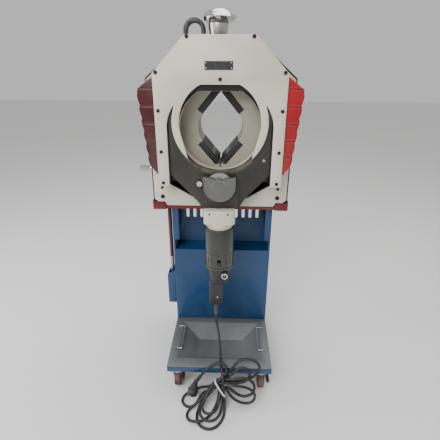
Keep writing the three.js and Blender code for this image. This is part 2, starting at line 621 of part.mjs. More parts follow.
const RETAINER_LIP = 10.5;       // how far the ring reaches over the front plate
const RETAINER_R = HUB_R + RETAINER_LIP;
const RETAINER_T = 4.5;

// The ring that holds the rotor's hub in the front plate.
function rotorRetainer() {
  const y0 = PLATE_BACK + GAP + 0.2 + GAP;
  let solid = disc(0, 0, RETAINER_R, y0, y0 + RETAINER_T, 64);
  solid = solid.subtract(disc(0, 0, BORE_R, y0 - 1, y0 + RETAINER_T + 1, 64));
  piece(head, 'rotor_retainer', solid, STEEL());
}

function grips() {
  for (const [name, s] of [['left_grip', -1], ['right_grip', 1]]) {
    const points = gripOutline();
    points[0][0] = COVER_W / 2 - 4 + GAP;
    points[points.length - 1][0] = COVER_W / 2 - 4 + GAP;
    const solid = plate(s > 0 ? points : mirrorX(points), COVER_BACK + GAP, ROTOR_BACK_Y - 12 - GAP);
    piece(head, name, solid, s < 0 ? finish(0x6a0d18, 0.4, 0.0) : RED());
  }
}

function labelPlate() {
  piece(head, 'label_plate', box(-45, 37, FRONT_Y - GAP - 1.2, FRONT_Y - GAP, 173, 196), BLACK());
}

// ---------------------------------------------------------------- slide with saw and motor
const SLIDE_HALF = RAIL_IN - SLIDE_PLAY;
const ARM_TOP = 60;
const FLANGE_HALF = 58;
const FLANGE_TOP = -150;
const SLIDE_BOTTOM = -252;
const GEAR_ROOM = 24;
const BOSS_HALF = 60;

function slideHousing() {
  const outline = [[-FLANGE_HALF, SLIDE_BOTTOM], [FLANGE_HALF, SLIDE_BOTTOM], [SLIDE_HALF, -143],
    [SLIDE_HALF, ARM_TOP], [-SLIDE_HALF, ARM_TOP], [-SLIDE_HALF, -143]];
  let solid = plate(outline, SLIDE_FRONT, SLIDE_BACK);
  solid = solid.subtract(disc(0, SADDLE_Z, SADDLE_R + 1, SLIDE_FRONT - 1, SLIDE_BACK + 1, 96));
  solid = solid.subtract(box(-SADDLE_R, SADDLE_R, SLIDE_FRONT - 1, SLIDE_BACK + 1, SADDLE_Z, ARM_TOP + 1));
  const boss = [[-FLANGE_HALF, SLIDE_BOTTOM], [FLANGE_HALF, SLIDE_BOTTOM], [BOSS_HALF, SLIDE_BOTTOM + 30],
    [BOSS_HALF, FLANGE_TOP], [-BOSS_HALF, FLANGE_TOP], [-BOSS_HALF, SLIDE_BOTTOM + 30]];
  solid = solid.add(plate(boss, BOSS_Y, SLIDE_FRONT + 2));
  solid = solid.subtract(box(-GEAR_ROOM, GEAR_ROOM, BOSS_Y + 3, SLIDE_BACK - 3, BLADE_Z - 26, FLANGE_TOP - 1));
  solid = solid.subtract(rod('y', BOSS_Y - 1, BOSS_Y + 5, [0, 0, BLADE_Z], ARBOR_R + 0.5, ARBOR_R + 0.5, 20));
  solid = solid.subtract(rod('z', SLIDE_BOTTOM - 1, BLADE_Z - 20, [0, MOTOR_Y, 0], SHAFT_R + 1, SHAFT_R + 1, 20));
  piece(head, 'slide_housing', solid, OLIVE());
}

const ARBOR_R = 7;
const SHAFT_R = 8;
const BLADE_T = 2;
const BLADE_Y = -138;
const TOOTH_COUNT = 36;
const BLADE_BORE_R = ARBOR_R;

function sawParts() {
  const teeth = [];
  for (let i = 0; i < TOOTH_COUNT; i++) {
    const a = i / TOOTH_COUNT * 2 * Math.PI;
    const b = (i + 0.25) / TOOTH_COUNT * 2 * Math.PI;
    teeth.push([(BLADE_R - 3) * Math.cos(a), BLADE_Z + (BLADE_R - 3) * Math.sin(a)]);
    teeth.push([BLADE_R * Math.cos(b), BLADE_Z + BLADE_R * Math.sin(b)]);
  }
  let blade = plate(teeth, BLADE_Y, BLADE_Y + BLADE_T);
  blade = blade.subtract(disc(0, BLADE_Z, BLADE_BORE_R + GAP, BLADE_Y - 1, BLADE_Y + BLADE_T + 1, 20));
  piece(head, 'saw_blade', blade, STEEL());

  // The arbor carries the blade between two collars, and the bevel gear inside the slide.
  const c = [0, 0, BLADE_Z];
  let arbor = rod('y', BLADE_Y - 4, SLIDE_BACK - 5, c, ARBOR_R - 0.5, ARBOR_R - 0.5, 20);
  arbor = arbor.add(rod('y', BLADE_Y - 4, BLADE_Y - GAP, c, 12, 12, 20));
  arbor = arbor.add(rod('y', BLADE_Y + BLADE_T + GAP, BOSS_Y - 1, c, 12, 12, 20));
  arbor = arbor.add(rod('y', MOTOR_Y + 10, MOTOR_Y + 15, c, 15, 20, 24));
  piece(head, 'blade_arbor', arbor, STEEL());
}

const GUARD_TOP = -143;
const GUARD_WALL = 2;

function bladeCover() {
  const round = arc(0, BLADE_Z, GUARD_R, 0, -180, 24);
  const outline = [...round, [-GUARD_R, GUARD_TOP + 2], [-20, GUARD_TOP - 3], [-13, GUARD_TOP - 9],
    [-2, GUARD_TOP], [10, GUARD_TOP - 10], [20, GUARD_TOP - 3], [GUARD_R, GUARD_TOP + 2]];
  let solid = plate(outline.reverse(), GUARD_Y, BOSS_Y - GAP);
  const w = GUARD_R - GUARD_WALL;
  const inside = [...arc(0, BLADE_Z, w, 0, -180, 24), [-w, GUARD_TOP + 9], [w, GUARD_TOP + 9]];
  solid = solid.subtract(plate(inside.reverse(), GUARD_Y + GUARD_WALL, BOSS_Y + 1));
  piece(head, 'blade_cover', solid, STEEL());
}

const KNOB_X = -56;
const KNOB_Z = -162;

function coverKnob() {
  let knob = rod('y', GUARD_Y - 4, BOSS_Y - GAP, [KNOB_X - 8, 0, KNOB_Z], 9, 9, 20);
  knob = knob.subtract(rod('y', GUARD_Y - 5, GUARD_Y, [KNOB_X - 8, 0, KNOB_Z], 5, 5, 6));
  piece(head, 'cover_knob', knob, STEEL());
}

// Rounded box outline seen from above, centred on the motor axis.
function roundedTop(halfX, halfY, r, steps = 4) {
  const shape = new THREE.Shape();
  const corners = [[halfX - r, halfY - r, 0], [-halfX + r, halfY - r, 90], [-halfX + r, -halfY + r, 180],
    [halfX - r, -halfY + r, 270]];
  const points = corners.flatMap(([cx, cy, a]) => arc(cx, cy, r, a, a + 90, steps));
  shape.setFromPoints(points.map(([x, y]) => new THREE.Vector2(x, y)));
  return shape;
}

function prism(shape, z0, z1, x = 0, y = MOTOR_Y) {
  const g = new THREE.ExtrudeGeometry(shape, { depth: z1 - z0, bevelEnabled: false });
  g.translate(x, y, z0);
  return toSolid(g);
}

const COLLAR_HALF = 53;
const COLLAR_DEPTH = 45;

const DIAL_X = 20;               // speed dial on the front of the motor's end cap
const DIAL_Z = MOTOR_BOTTOM - 16;

function motorParts() {
  let collar = prism(roundedTop(COLLAR_HALF, COLLAR_DEPTH, 16), COLLAR_BOTTOM + 22, COLLAR_TOP);
  collar = collar.add(rod('z', COLLAR_BOTTOM, COLLAR_BOTTOM + 23, [0, MOTOR_Y, 0], MOTOR_R - 6, MOTOR_R, 32));
  collar = collar.subtract(rod('z', COLLAR_BOTTOM - 1, COLLAR_TOP + 1, [0, MOTOR_Y, 0], SHAFT_R + 4, SHAFT_R + 4, 20));
  piece(head, 'gearbox_collar', collar, IVORY());

  const motorTop = COLLAR_BOTTOM - GAP;
  let motor = rod('z', MOTOR_BOTTOM, motorTop, [0, MOTOR_Y, 0], MOTOR_R, MOTOR_R, 32);
  motor = motor.subtract(rod('z', MOTOR_BOTTOM - 1, motorTop - 8, [0, MOTOR_Y, 0], MOTOR_R - 4, MOTOR_R - 4, 32));
  motor = motor.subtract(rod('z', motorTop - 10, motorTop + 1, [0, MOTOR_Y, 0], SHAFT_R + 4, SHAFT_R + 4, 20));
  motor = motor.subtract(box(-6, 6, MOTOR_Y - MOTOR_R - 1, MOTOR_Y - MOTOR_R + 8, MOTOR_BOTTOM + 24, MOTOR_BOTTOM + 46));
  piece(head, 'motor_housing', motor, OLIVE());

  let rotor = rod('z', MOTOR_BOTTOM + 14, BLADE_Z - 21, [0, MOTOR_Y, 0], SHAFT_R - 1, SHAFT_R - 1, 16);
  rotor = rotor.add(rod('z', MOTOR_BOTTOM + 50, motorTop - 30, [0, MOTOR_Y, 0], 30, 30, 24));
  rotor = rotor.add(rod('z', MOTOR_BOTTOM + 20, MOTOR_BOTTOM + 40, [0, MOTOR_Y, 0], 16, 16, 20));
  piece(head, 'motor_armature', rotor, STEEL());

  let cap = rod('z', CAP_BOTTOM, MOTOR_BOTTOM - GAP, [0, MOTOR_Y, 0], 37, 43, 28);
  cap = cap.subtract(rod('z', MOTOR_BOTTOM - 12, MOTOR_BOTTOM, [0, MOTOR_Y, 0], 30, 30, 20));
  cap = cap.add(rod('y', MOTOR_Y - 46, MOTOR_Y - 20, [DIAL_X, 0, DIAL_Z], 13, 13, 24));
  piece(head, 'motor_end_cap', cap, BLACK());

  const handle = prism(roundedTop(25, 24, 12), HANDLE_BOTTOM, CAP_BOTTOM - GAP, HANDLE_SHIFT);
  const lift = rod('z', HANDLE_BOTTOM - 1, HANDLE_BOTTOM + 6, [HANDLE_SHIFT, MOTOR_Y, 0], 12, 12, 16);
  piece(head, 'motor_handle', handle.subtract(lift), BLACK());

  const button = box(-5, 5, MOTOR_Y - MOTOR_R - 3, MOTOR_Y - MOTOR_R + 6, MOTOR_BOTTOM + 25, MOTOR_BOTTOM + 37);
  piece(head, 'switch_slider', button, BLACK());

  const dial = rod('y', MOTOR_Y - 54, MOTOR_Y - 46 - GAP, [DIAL_X, 0, DIAL_Z], 10, 11.5, 24);
  piece(head, 'speed_dial', dial, BLACK());
}

const BOOT_TOP_R = 11;
const BOOT_END_R = 6.5;

function cordBoot() {
  const boot = turned([[0, BOOT_BOTTOM], [BOOT_END_R, BOOT_BOTTOM], [BOOT_TOP_R - 2, HANDLE_BOTTOM - 8],
    [BOOT_TOP_R, HANDLE_BOTTOM - 6], [BOOT_TOP_R, HANDLE_BOTTOM + 6 - GAP], [0, HANDLE_BOTTOM + 6 - GAP]],
  [HANDLE_SHIFT, MOTOR_Y, 0], 16);
  piece(head, 'cord_boot', boot, RUBBER());
}

// ---------------------------------------------------------------- top of the head
const TOP_Y = 24;
const HANDLE_X = -71;
const KNOB_CX = -22;

function topParts() {
  const z0 = HOUSING_TOP + GAP;
  const outer = [[-36, 0], ...arc(0, 33, 35, 180, 0, 14), [36, 0]];
  const inner = [[22, -1], ...arc(0, 33, 21, 0, 180, 12), [-22, -1]];
  let handle = plate(outer.reverse(), TOP_Y - 12, TOP_Y + 12);
  handle = handle.subtract(plate(inner.map((p) => p), TOP_Y - 13, TOP_Y + 13));
  handle = handle.add(box(-46, -20, TOP_Y - 14, TOP_Y + 14, 0, 5)).add(box(20, 46, TOP_Y - 14, TOP_Y + 14, 0, 5));
  handle = handle.translate([HANDLE_X - 14, 0, z0]);
  piece(head, 'carrying_handle', handle, BLACK());

  let bush = rod('z', z0, z0 + 52, [KNOB_CX + 12, TOP_Y, 0], 25, 33, 28);
  bush = bush.subtract(rod('z', z0 + 6, z0 + 53, [KNOB_CX + 12, TOP_Y, 0], 9.4, 9.4, 20));
  piece(head, 'lock_bushing', bush, STEEL());

  let knob = turned([[0, z0 + 10], [9, z0 + 10], [9, z0 + 52 + GAP], [34, z0 + 53], [46, z0 + 59],
    [48, z0 + 68], [44, z0 + 78], [33, z0 + 87], [18, z0 + 92], [0, z0 + 94]], [KNOB_CX + 12, TOP_Y, 0], 32);
  knob = knob.add(box(KNOB_CX + 50, KNOB_CX + 70, TOP_Y - 9, TOP_Y + 9, z0 + 59, z0 + 74));
  piece(head, 'lock_knob', knob, STEEL());
}

// ---------------------------------------------------------------- cord, hank and plug
// Route of the lead from the motor handle, over the tray's front rim, down to the tied hank.
const LEAD = [
  [-17, -115, 237.7], [-17, -115, 222], [-15, -119, 203], [-10, -132, 182], [-4, -155, 162],
  [0, -185, 146], [3, -215, 138], [5, -245, 133.5], [7, -265, 133], [9, -279, 130.5], [10.5, -287, 126],
];
// Route of the tail from the hank, back over the rim and down to the plug.
const TAIL = [
  [33, -287, 122], [30, -281, 132], [20, -275, 141], [6, -271, 145], [-9, -271, 143],
  [-25, -275, 136], [-42, -282, 126], [-56, -288, 113], [-68, -293, 99],
];
const HANK_LOW = [-31, -308, 50];
const HANK_HIGH = [36, -300, 108];
const HANK_WAIST_R = 24;
const HANK_FLOOR_H = 33;         // height of the lobe that lies on the floor
const HANK_LEAN = 14.7;          // the other lobe leans on the base by this angle
const HANK_LEAN_T = 34;
const PLUG_TOP = [-83, -300, 82];
const PLUG_TIP = [-103, -309, 9];
const PLUG_BODY_L = 52;
const PLUG_PLACE = [-99, -307, 0];   // where the plug's pins stand inside the outer loop
const PLUG_ROOM_R = 24;

function vec(p) {
  return new THREE.Vector3(...p);
}

// A cylinder or cone between two free points.
function bar(from, to, r0, r1 = r0, sides = 16) {
  const a = vec(from);
  const d = vec(to).sub(a);
  const g = new THREE.CylinderGeometry(r1, r0, d.length(), sides);
  g.translate(0, d.length() / 2, 0);
  g.applyQuaternion(new THREE.Quaternion().setFromUnitVectors(new THREE.Vector3(0, 1, 0), d.normalize()));
  g.translate(a.x, a.y, a.z);
  return toSolid(g);
}

function cordTube(name, points, steps) {
  const curve = new THREE.CatmullRomCurve3(points.map(vec), false, 'centripetal');
  const ring = shapeOf(arc(0, 0, CORD_R, 0, 324, 9));
  const g = new THREE.ExtrudeGeometry(ring, { steps, extrudePath: curve, bevelEnabled: false });
  piece(machine, name, toSolid(g), RUBBER());
}

// A point beyond the end of a route, along its last stretch.
function beyond(points, atEnd, distance) {
  const end = vec(atEnd ? points[points.length - 1] : points[0]);
  const before = vec(atEnd ? points[points.length - 2] : points[1]);
  const d = end.clone().sub(before).normalize();
  return end.addScaledVector(d, distance).toArray();
}

function hankSolid() {
  const floorLobe = [...arc(-98, -314, 40, 95, 215, 6), ...arc(-66, -378, 46, 190, 262, 4),
    ...arc(-26, -378, 52, 260, 350, 6), [30, -330], [24, -290], [-30, -262]];
  const shape = shapeOf(floorLobe);
  const g = new THREE.ExtrudeGeometry(shape, { depth: HANK_FLOOR_H, bevelEnabled: false });
  g.translate(0, 0, 0.3);
  let solid = toSolid(g);
  solid = solid.add(bar(HANK_LOW, HANK_HIGH, HANK_WAIST_R, HANK_WAIST_R, 20));
  const lobe = [...arc(96, 108, 51, -20, 95, 6), [64, 157], [46, 126], [36, 96], [40, 40],
    ...arc(96, 66, 36, 255, 350, 4)];
  const tiltY = Math.tan(THREE.MathUtils.degToRad(HANK_LEAN));
  const lean = new THREE.ExtrudeGeometry(shapeOf(lobe), { depth: HANK_LEAN_T, bevelEnabled: false });
  lean.applyMatrix4(new THREE.Matrix4().set(1, 0, 0, 0, 0, tiltY, -1, -306 - tiltY * 12, 0, 1, 0, 0, 0, 0, 0, 1));
  solid = solid.add(toSolid(lean));
  for (const [points, atEnd] of [[LEAD, true], [TAIL, false]]) {
    solid = solid.add(bar(beyond(points, atEnd, GAP), beyond(points, atEnd, 24), CORD_R + 3));
  }
  solid = solid.subtract(rod('z', -1, HANK_FLOOR_H + 8, PLUG_PLACE, PLUG_ROOM_R, PLUG_ROOM_R, 20));
  piece(machine, 'cord_hank', solid, RUBBER());
}

function mainsPlug() {
  const top = vec(PLUG_TOP);
  const along = vec(PLUG_TIP).sub(top).normalize();
  const at = (d) => top.clone().addScaledVector(along, d).toArray();
  const reliefTop = vec(TAIL[TAIL.length - 1]);
  const reliefDir = top.clone().sub(reliefTop).normalize();
  let solid = bar(reliefTop.addScaledVector(reliefDir, GAP).toArray(), at(2), 6, 8);
  solid = solid.add(bar(at(0), at(PLUG_BODY_L - 16), 9, 16));
  solid = solid.add(bar(at(PLUG_BODY_L - 17), at(PLUG_BODY_L), 19, 19, 20));
  const side = new THREE.Vector3(1, 0, 0).cross(along).cross(along).normalize().multiplyScalar(9);
  for (const s of [-1, 1]) {
    const shift = (d) => vec(at(d)).addScaledVector(side, s).toArray();
    solid = solid.add(bar(shift(PLUG_BODY_L - 2), shift(PLUG_BODY_L + 19), 2.4, 2.4, 10));
  }
  piece(machine, 'mains_plug', solid, BLACK());
}

// ---------------------------------------------------------------- assembly
baseFrame();
chipTray();
trayHandle('tray_handle_left', -1);
trayHandle('tray_handle_right', 1);
cabinet();
crankAndPocket();
caster('front_left', -CASTER_X, CASTER_Y.front, true);
caster('front_right', CASTER_X, CASTER_Y.front, true);
caster('rear_left', -CASTER_X, CASTER_Y.rear, false);
caster('rear_right', CASTER_X, CASTER_Y.rear, false);
basePlate();
frontPlate();
rearHousing();
spindleParts();
jaw('jaw_left', -1);
jaw('jaw_right', 1);
insert('insert_upper_left', -1, 1);
insert('insert_upper_right', 1, 1);
insert('insert_lower_left', -1, -1);
insert('insert_lower_right', 1, -1);
rotorBody();
rotorRetainer();
frontCover();
grips();
labelPlate();
slideHousing();
sawParts();
bladeCover();
coverKnob();
motorParts();
cordBoot();
topParts();

// The box is measured before the cord is added: the origin is under the machine itself.
machine.updateMatrixWorld(true);
const bounds = new THREE.Box3().setFromObject(machine, true);
machine.position.set(-(bounds.min.x + bounds.max.x) / 2, -(bounds.min.y + bounds.max.y) / 2, -bounds.min.z);
cordTube('cord_lead', LEAD, 20);
cordTube('cord_tail', TAIL, 12);
hankSolid();
mainsPlug();

const group = new THREE.Group();
group.add(machine);
export default group;
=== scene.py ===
# %% [markdown]
# A mobile pipe-cutting machine: a round cutting head with a saw and its motor stands on a blue cabinet
# trolley with a chip tray in front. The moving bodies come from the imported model, and this lesson gives
# every part its edges, its finish and its small hardware.

# %% Load the fixed frame
import bpy
import bmesh
import json
from math import radians, sin, cos, pi
import numpy as np
from mathutils import Matrix, Quaternion, Vector
from mathutils.bvhtree import BVHTree

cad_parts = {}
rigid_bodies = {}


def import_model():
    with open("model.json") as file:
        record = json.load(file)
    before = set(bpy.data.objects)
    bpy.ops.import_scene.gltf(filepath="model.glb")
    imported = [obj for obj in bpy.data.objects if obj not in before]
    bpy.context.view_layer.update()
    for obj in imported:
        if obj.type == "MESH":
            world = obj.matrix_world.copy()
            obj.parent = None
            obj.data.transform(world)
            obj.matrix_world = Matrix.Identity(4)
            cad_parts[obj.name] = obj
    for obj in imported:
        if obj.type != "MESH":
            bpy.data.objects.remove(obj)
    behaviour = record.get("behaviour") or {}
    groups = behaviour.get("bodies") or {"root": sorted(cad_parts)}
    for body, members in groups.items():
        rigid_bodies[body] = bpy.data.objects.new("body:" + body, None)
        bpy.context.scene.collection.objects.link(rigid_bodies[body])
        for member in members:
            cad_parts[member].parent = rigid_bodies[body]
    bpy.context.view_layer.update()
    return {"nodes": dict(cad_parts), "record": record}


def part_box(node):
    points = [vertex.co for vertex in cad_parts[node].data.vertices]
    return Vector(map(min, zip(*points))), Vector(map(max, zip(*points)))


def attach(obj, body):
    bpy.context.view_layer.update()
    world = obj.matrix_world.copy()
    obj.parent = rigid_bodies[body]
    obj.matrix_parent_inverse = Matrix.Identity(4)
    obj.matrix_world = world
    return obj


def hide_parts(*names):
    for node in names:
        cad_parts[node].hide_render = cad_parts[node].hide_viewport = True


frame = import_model()
body_of = {node: body for body, nodes in frame["record"]["behaviour"]["bodies"].items() for node in nodes}
trolley_lo, trolley_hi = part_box("base_frame")
MIDDLE = (trolley_lo.x + trolley_hi.x) / 2
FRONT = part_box("cabinet_shell")[0].y
ring_lo, ring_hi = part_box("rotor_retainer")
AXIS_X, AXIS_Z = (ring_lo.x + ring_hi.x) / 2, (ring_lo.z + ring_hi.z) / 2


def place(x, y, z):
    """Millimetres from the middle of the cabinet's front, at the floor, to metres."""
    return Vector((MIDDLE + x / 1000, FRONT + y / 1000, z / 1000))


# %% [markdown]
# The camera stands a little above the head and looks down on it from the front, close enough for the
# trolley to narrow towards the floor. A wide lens gives that strong narrowing; a long lens would flatten it.

# %% Camera
lens = bpy.data.cameras.new("camera")
LENS_MM, SENSOR_MM = 27.89, 36
lens.lens, lens.sensor_width = LENS_MM, SENSOR_MM
lens.clip_start = 0.02
camera = bpy.data.objects.new("camera", lens)
bpy.context.scene.collection.objects.link(camera)
yaw, pitch = radians(-1.68), radians(23.1)
look = Vector((sin(yaw) * cos(pitch), cos(yaw) * cos(pitch), -sin(pitch)))
camera.location = place(28.13, -1196.4, 1098.4)
camera.rotation_mode = "QUATERNION"
camera.rotation_quaternion = look.to_track_quat("-Z", "Y") @ Quaternion((0, 0, 1), radians(0.26))
bpy.context.scene.camera = camera
print("camera at", [round(v, 3) for v in camera.location])

# %% [markdown]
# Small helpers keep the later cells short. New pieces are made with Blender's own operators, which act on
# whatever is selected, so each step starts by deselecting everything and then picks faces by where they
# point or lie.

# %% Helpers for picking and finishing
def only(obj=None):
    if bpy.context.object and bpy.context.object.mode != "OBJECT":
        bpy.ops.object.mode_set(mode="OBJECT")
    bpy.ops.object.select_all(action="DESELECT")
    if obj:
        obj.select_set(True)
        bpy.context.view_layer.objects.active = obj


def shape(obj, pick, mode="FACE"):
    """Go into edit mode with just the faces that pick(face) wants selected."""
    only(obj)
    bpy.ops.object.mode_set(mode="EDIT")
    bpy.context.tool_settings.mesh_select_mode = (mode == "VERT", mode == "EDGE", mode == "FACE")
    work = bmesh.from_edit_mesh(obj.data)
    for group in (work.verts, work.edges, work.faces):
        for part in group:
            part.select = False
    chosen = [part for part in {"VERT": work.verts, "EDGE": work.edges, "FACE": work.faces}[mode] if pick(part)]
    for part in chosen:
        part.select_set(True)
    bmesh.update_edit_mesh(obj.data)
    return len(chosen)


def object_mode():
    bpy.ops.object.mode_set(mode="OBJECT")


def bevelled(obj, width, steps=2, angle=35):
    only(obj)
    mod = obj.modifiers.new("edge", "BEVEL")
    mod.width, mod.segments, mod.limit_method, mod.angle_limit = width, steps, "ANGLE", radians(angle)
    mod.harden_normals = False
    bpy.ops.object.modifier_apply(modifier="edge")
    return obj


def finished(obj, name, body, smooth=35):
    only(obj)
    bpy.ops.object.transform_apply(location=True, rotation=True, scale=True)
    bpy.ops.object.shade_smooth_by_angle(angle=radians(smooth))
    obj.name = obj.data.name = name
    obj.data.update()
    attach(obj, body)
    only()
    return obj


def disc(radius, depth, spot, normal=(0, -1, 0), sides=24, bevel=0.0):
    """A cylinder whose outer end faces along normal and stands at spot."""
    only()
    n = Vector(normal).normalized()
    bpy.ops.mesh.primitive_cylinder_add(vertices=sides, radius=radius, depth=depth, location=(0, 0, 0))
    obj = bpy.context.object
    if bevel:
        bevelled(obj, bevel)
    obj.matrix_world = (Matrix.Translation(Vector(spot) - n * depth / 2)
                        @ n.to_track_quat("Z", "Y").to_matrix().to_4x4())
    bpy.context.view_layer.update()
    return obj


def block(size, spot, bevel=0.0, steps=2):
    only()
    bpy.ops.mesh.primitive_cube_add(size=1, location=spot)
    obj = bpy.context.object
    obj.scale = size
    only(obj)
    bpy.ops.object.transform_apply(location=False, rotation=False, scale=True)
    if bevel:
        bevelled(obj, bevel, steps)
    return obj


def joined(parts, name, body, smooth=35):
    only(parts[0])
    for part in parts:
        part.select_set(True)
    bpy.context.view_layer.objects.active = parts[0]
    if len(parts) > 1:
        bpy.ops.object.join()
    return finished(parts[0], name, body, smooth)


print("helpers ready")
# %% [markdown]
# The mains lead leaves the rubber boot under the motor, drops behind the tray's rim, crosses it and is
# put away in a hank: five loops to the left, four to the right, gathered by one white tie. It could be
# simulated from a straight lead, but a hank is wound by hand, so its loops are written down as points
# in the order a hand would lay them, in millimetres from the middle of the trolley's front.

# %% Route of the lead, loop by loop
LEAD = [(-17, -115, 237.7), (-17, -115, 222), (-15, -119, 203), (-10, -132, 182), (-4, -155, 162), (0, -185, 146),
        (3, -215, 138), (5, -245, 133.5), (7, -265, 133), (9, -279, 130.5), (10.5, -287, 126), (14, -309, 112),
        (17, -325, 92), (19, -334, 66), (21, -341, 36), (22, -352, 14)]
TAIL = [(33, -287, 122), (30, -281, 132), (20, -275, 141), (6, -271, 145), (-9, -271, 143), (-25, -275, 136),
        (-42, -282, 126), (-56, -288, 113), (-68, -293, 99)]
LEFT_LOOPS = [
    [(20, -372, 5.2), (6, -402, 5.2), (-20, -421, 5.2), (-48, -418, 5.2), (-68, -400, 5.2), (-74, -372, 5.2),
     (-68, -343, 8), (-50, -318, 26)],
    [(-32, -310, 48), (-58, -300, 30), (-84, -334, 8), (-106, -343, 5.2), (-124, -333, 5.2), (-134, -312, 5.2),
     (-124, -292, 7), (-102, -282, 12), (-76, -278, 27), (-46, -292, 50)],
    [(2, -318, 50), (-8, -346, 26), (-26, -376, 15.4), (-52, -400, 15.6), (-80, -404, 15.4), (-102, -391, 8),
     (-110, -369, 6), (-100, -350, 8), (-74, -334, 20), (-46, -316, 40)],
    [(12, -328, 46), (12, -358, 24.6), (2, -388, 25), (-20, -408, 24.8), (-44, -404, 25.2), (-61, -384, 25.2),
     (-63, -358, 24.6), (-50, -334, 36)],
    [(4, -332, 50), (-2, -356, 34.5), (-14, -382, 34.6), (-36, -392, 34.8), (-54, -376, 34.8), (-54, -350, 36),
     (-42, -330, 48)]]
RIGHT_LOOPS = [
    [(42, 122), (56, 144), (74, 160), (98, 166), (126, 160), (146, 140), (140, 116), (112, 96), (66, 84)],
    [(50, 118), (70, 138), (94, 142), (112, 126), (106, 102), (84, 88), (56, 84)],
    [(54, 106), (84, 112), (112, 104), (128, 80), (118, 54), (88, 44), (56, 58)],
    [(52, 92), (84, 88), (116, 76), (132, 52), (118, 32), (86, 28), (50, 46)]]
LAYER = [5.2, 15.1, 25.0, 34.9]          # how far each right loop stands in front of the base
SLOT_UP = [(-5.1, -10.2), (-5.1, 0), (-15.3, 0), (-5.1, 10.2), (-15.3, 10.2)]
SLOT_DOWN = [(5.1, -10.2), (5.1, 0), (15.3, 0), (5.1, 10.2)]
WAIST = np.array((2, -304, 79.0))         # middle of the gathered part
ALONG, OUT, ACROSS = np.array((.753, .090, .652)), np.array((-.059, -.977, .203)), np.array((.655, -.191, -.730))


def in_waist(slot, along):
    return WAIST + ACROSS * slot[0] + OUT * slot[1] + ALONG * along


stops = list(LEAD)
for turn, loop in enumerate(LEFT_LOOPS):
    stops += loop + [in_waist(SLOT_UP[turn], -14), in_waist(SLOT_UP[turn], 14)]
    if turn < 4:
        stops += [(x, -309.1 + 0.262 * z - LAYER[turn], z) for x, z in RIGHT_LOOPS[turn]]
        stops += [in_waist(SLOT_DOWN[turn], 12), in_waist(SLOT_DOWN[turn], 0)]
stops = np.array([tuple(p) for p in stops + TAIL], float)
print("the lead's route has", len(stops), "stops")


# %% One even line through the stops
def evenly(points, step):
    run = np.r_[0, np.cumsum(np.linalg.norm(np.diff(points, axis=0), axis=1))]
    count = int(round(run[-1] / step))
    return np.array([np.interp(np.linspace(0, run[-1], count + 1), run, points[:, k]) for k in range(3)]).T


def through(points, per_gap=12):
    ends = np.vstack([2 * points[0] - points[1], points, 2 * points[-1] - points[-2]])
    line = []
    for i in range(1, len(ends) - 2):
        p = ends[i - 1:i + 3]
        t = np.r_[0, np.cumsum(np.sqrt(np.linalg.norm(np.diff(p, axis=0), axis=1)))]
        for s in np.linspace(t[1], t[2], per_gap, endpoint=False):
            q = [((t[k + 1] - s) * p[k] + (s - t[k]) * p[k + 1]) / (t[k + 1] - t[k]) for k in range(3)]
            w = [((t[k + 2] - s) * q[k] + (s - t[k]) * q[k + 1]) / (t[k + 2] - t[k]) for k in range(2)]
            line.append(((t[2] - s) * w[0] + (s - t[1]) * w[1]) / (t[2] - t[1]))
    return np.array(line + [points[-1]])


line = evenly(through(stops), 4)
print("first line:", len(line), "points,", round(len(line) * 4 / 1000, 2), "m")


# %% Let the loops settle: strands push each other apart and bends ease
LEAST_HEIGHT = 5.0        # middle of a strand lying on the floor
CLEAR_OF_BASE = -278.5    # a strand beside the base stays in front of this
BASE_TOP, BASE_LEFT = 130, -165
# upright round things the strands keep away from: middle, room to keep, and how high it reaches
KEEP_OFF = [((-156, -240), 57, 92), ((156, -240), 57, 92), ((-99, -307), 25, 60)]    # front casters, plug


def settle_strands(line, rounds=150, thick=9.7):
    free = np.ones(len(line), bool)
    free[:44] = free[-24:] = False
    index = np.arange(len(line))
    apart = np.abs(index[:, None] - index[None, :]) > 8
    home = line.copy()
    for turn in range(rounds):
        push = np.zeros_like(line)
        gap = line[:, None, :] - line[None, :, :]
        dist = np.sqrt((gap ** 2).sum(-1)) + 1e-6
        close = (dist < thick) & apart
        i, j = np.nonzero(close)
        np.add.at(push, i, gap[i, j] / dist[i, j][:, None] * (thick - dist[i, j])[:, None] * 0.22)
        lengths = np.maximum(close.sum(1), 1)[:, None] ** 0.5
        line = line + np.where(free[:, None], push / lengths, 0)
        bend = np.zeros_like(line)
        bend[2:-2] = (line[:-4] + line[4:]) * -0.0625 + (line[1:-3] + line[3:-1]) * 0.25 - line[2:-2] * 0.375
        wide = np.zeros_like(line)
        wide[4:-4] = (line[:-8] + line[8:]) * 0.5 - line[4:-4]
        hard = np.clip(np.linalg.norm(wide, axis=1) / 4.0 - 1, 0, 1)[:, None]
        line = line + np.where(free[:, None], bend * 1.6 + wide * hard * 0.10 + (home - line) * 0.004, 0)
        line[:, 2] = np.maximum(line[:, 2], LEAST_HEIGHT)
        beside = (line[:, 1] > CLEAR_OF_BASE) & (line[:, 2] < BASE_TOP) & free & (line[:, 0] > BASE_LEFT)
        line[beside, 1] = CLEAR_OF_BASE
        for spot, room, below in KEEP_OFF:
            flat = line[:, :2] - spot
            r = np.linalg.norm(flat, axis=1) + 1e-9
            near = (r < room) & (line[:, 2] < below) & free
            line[near, :2] += flat[near] / r[near][:, None] * (room - r[near])[:, None]
    return line


line = evenly(settle_strands(line), 4)
print("settled lead:", round(len(line) * 4 / 1000, 3), "m, lowest middle", round(line[:, 2].min(), 1), "mm")

# %% The lead as one round cable
CORD_D = 0.0095
metres = np.array([tuple(place(*p)) for p in evenly(line, 6)])


